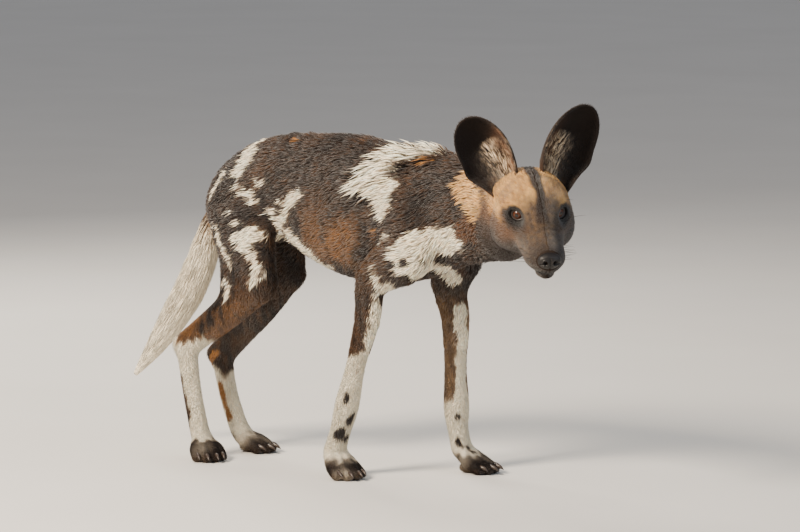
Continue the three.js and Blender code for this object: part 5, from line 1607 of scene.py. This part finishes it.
def make_stage():
    """A flat pale floor, soft lights and the photograph's camera."""
    turn, rise = math.radians(CAMERA_TURN), math.radians(CAMERA_RISE)
    right = np.array([math.cos(turn), math.sin(turn), 0])
    behind = np.array([-math.sin(turn), math.cos(turn), 0])
    up = np.array([0, 0, 1]) * math.cos(rise) + behind * math.sin(rise)
    toward = np.array([0, 0, 1]) * math.sin(rise) - behind * math.cos(rise)
    aside = (PHOTO_WIDTH / 2 - PHOTO_FOOT[0]) / PHOTO_SCALE
    above = (PHOTO_FOOT[1] - PHOTO_HEIGHT / 2) / PHOTO_SCALE
    data = bpy.data.cameras.new("photo_camera")
    data.sensor_width = SENSOR
    data.lens = PHOTO_SCALE * CAMERA_DISTANCE / PHOTO_WIDTH * SENSOR
    data.clip_end = CAMERA_SEES
    camera = bpy.data.objects.new("photo_camera", data)
    bpy.context.scene.collection.objects.link(camera)
    look_from(camera, right, up, toward, to_frame(right * aside + up * above + toward * CAMERA_DISTANCE))
    bpy.context.scene.camera = camera

    half = FLOOR_SIZE / 2 * MM
    corners = np.array([(-half, -half, 0), (half, -half, 0), (half, half, 0), (-half, half, 0)]) - SHIFT
    material = speckled_material("pale_floor", FLOOR_COLOURS, 3.0, 0.9)
    mesh_object("floor", corners, [(0, 1, 2, 3)], material=material, smooth=False)

    for name, aside, ahead, above, power, size, colour in LIGHTS:
        add_light(name, right * aside + toward * ahead + (0, 0, above), power, size, colour)
    world = bpy.data.worlds.new("studio")
    world.use_nodes = True
    background = world.node_tree.nodes["Background"]
    background.inputs["Color"].default_value = SKY_COLOUR
    background.inputs["Strength"].default_value = SKY_STRENGTH
    bpy.context.scene.world = world


def add_light(name, place, power, size, colour):
    """A soft square light aimed at the body's middle."""
    data = bpy.data.lights.new(name, "AREA")
    data.energy = power
    data.size = size
    data.color = colour
    light = bpy.data.objects.new(name, data)
    bpy.context.scene.collection.objects.link(light)
    back = unit(place - np.array(LIGHT_TARGET))
    side = unit(np.cross((0, 0, 1), back))
    look_from(light, side, np.cross(back, side), back, place)


def hair_colour(name, red, green, blue):
    """A setting for one hair colour, given in sRGB from 0 to 255."""
    return bpy.props.FloatVectorProperty(
        name=name, description="Colour of this hair", subtype="COLOR_GAMMA", min=0.0, max=1.0,
        default=(red / 255, green / 255, blue / 255),
    )


class WildDogSettings(bpy.types.PropertyGroup):
    """How the coat is made and coloured."""
    coat_layers: bpy.props.FloatProperty(
        name="Coat layers", description="How many tufts lie over any place",
        default=COAT_LAYERS, min=0.5, max=6.0,
    )
    hair_length: bpy.props.FloatProperty(
        name="Hair length", description="Length of the body's hair as a share of the animal's own",
        default=1.0, min=0.5, max=1.5, subtype="FACTOR",
    )
    whisker_length: bpy.props.FloatProperty(
        name="Whisker length", description="Length of the longest whiskers",
        default=WHISKER_LENGTH / MM, min=0.005, max=0.08, unit="LENGTH",
    )
    dark_hair: hair_colour("Dark hair", 31, 22, 18)
    brown_hair: hair_colour("Brown hair", 78, 53, 33)
    ochre_hair: hair_colour("Ochre hair", 150, 102, 52)
    tan_hair: hair_colour("Tan hair", 128, 102, 74)
    pale_hair: hair_colour("Pale hair", 250, 238, 214)
    gold_hair: hair_colour("Golden hair of the face", 226, 178, 108)
    fawn_hair: hair_colour("Fawn hair of the neck", 216, 170, 108)
    rust_hair: hair_colour("Rust hair of the cheeks", 86, 55, 31)
    muzzle_hair: hair_colour("Muzzle hair", 54, 43, 37)
    black_hair: hair_colour("Black hair", 16, 12, 11)
    ear_hair: hair_colour("Pale hair in the ears", 212, 190, 160)


class WILDDOG_OT_skin(bpy.types.Operator):
    """Add the skin with both ears"""
    bl_idname = "wilddog.skin"
    bl_label = "Add Skin"

    def execute(self, context):
        make_skin()
        return {"FINISHED"}


class WILDDOG_OT_coat(bpy.types.Operator):
    """Add the coat's tufts over the skin"""
    bl_idname = "wilddog.coat"
    bl_label = "Add Coat"

    def execute(self, context):
        make_coat(context.scene.wilddog.coat_layers)
        return {"FINISHED"}


class WILDDOG_OT_eyes(bpy.types.Operator):
    """Add the eyeballs and lids"""
    bl_idname = "wilddog.eyes"
    bl_label = "Add Eyes"

    def execute(self, context):
        make_eye("right", -1)
        make_eye("left", 1)
        make_lids()
        return {"FINISHED"}


class WILDDOG_OT_nose(bpy.types.Operator):
    """Add the nose pad"""
    bl_idname = "wilddog.nose"
    bl_label = "Add Nose"

    def execute(self, context):
        make_nose()
        return {"FINISHED"}


class WILDDOG_OT_whiskers(bpy.types.Operator):
    """Add the whiskers"""
    bl_idname = "wilddog.whiskers"
    bl_label = "Add Whiskers"

    def execute(self, context):
        make_whiskers()
        return {"FINISHED"}


class WILDDOG_OT_claws(bpy.types.Operator):
    """Add the claws"""
    bl_idname = "wilddog.claws"
    bl_label = "Add Claws"

    def execute(self, context):
        make_claws()
        return {"FINISHED"}


class WILDDOG_OT_stage(bpy.types.Operator):
    """Add the floor, lights and camera"""
    bl_idname = "wilddog.stage"
    bl_label = "Add Stage"

    def execute(self, context):
        make_stage()
        return {"FINISHED"}


class WILDDOG_PT_panel(bpy.types.Panel):
    """Buttons for the model's pieces"""
    bl_label = "Wild Dog"
    bl_idname = "WILDDOG_PT_panel"
    bl_space_type = "VIEW_3D"
    bl_region_type = "UI"
    bl_category = "Wild Dog"

    def draw(self, context):
        layout = self.layout
        for name in WildDogSettings.__annotations__:
            layout.prop(context.scene.wilddog, name)
        for operator in OPERATORS:
            layout.operator(operator.bl_idname)


OPERATORS = (
    WILDDOG_OT_stage, WILDDOG_OT_skin, WILDDOG_OT_coat, WILDDOG_OT_eyes, WILDDOG_OT_nose, WILDDOG_OT_claws,
    WILDDOG_OT_whiskers,
)
CLASSES = (WildDogSettings, *OPERATORS, WILDDOG_PT_panel)


def register():
    """Add the classes and the settings."""
    for cls in CLASSES:
        bpy.utils.register_class(cls)
    bpy.types.Scene.wilddog = bpy.props.PointerProperty(type=WildDogSettings)


def unregister():
    """Take the settings and the classes away."""
    del bpy.types.Scene.wilddog
    for cls in reversed(CLASSES):
        bpy.utils.unregister_class(cls)


def main():
    """Build the whole model."""
    register()
    for name in ("stage", "skin", "coat", "eyes", "nose", "claws", "whiskers"):
        getattr(bpy.ops.wilddog, name)()


if __name__ == "__main__":
    main()
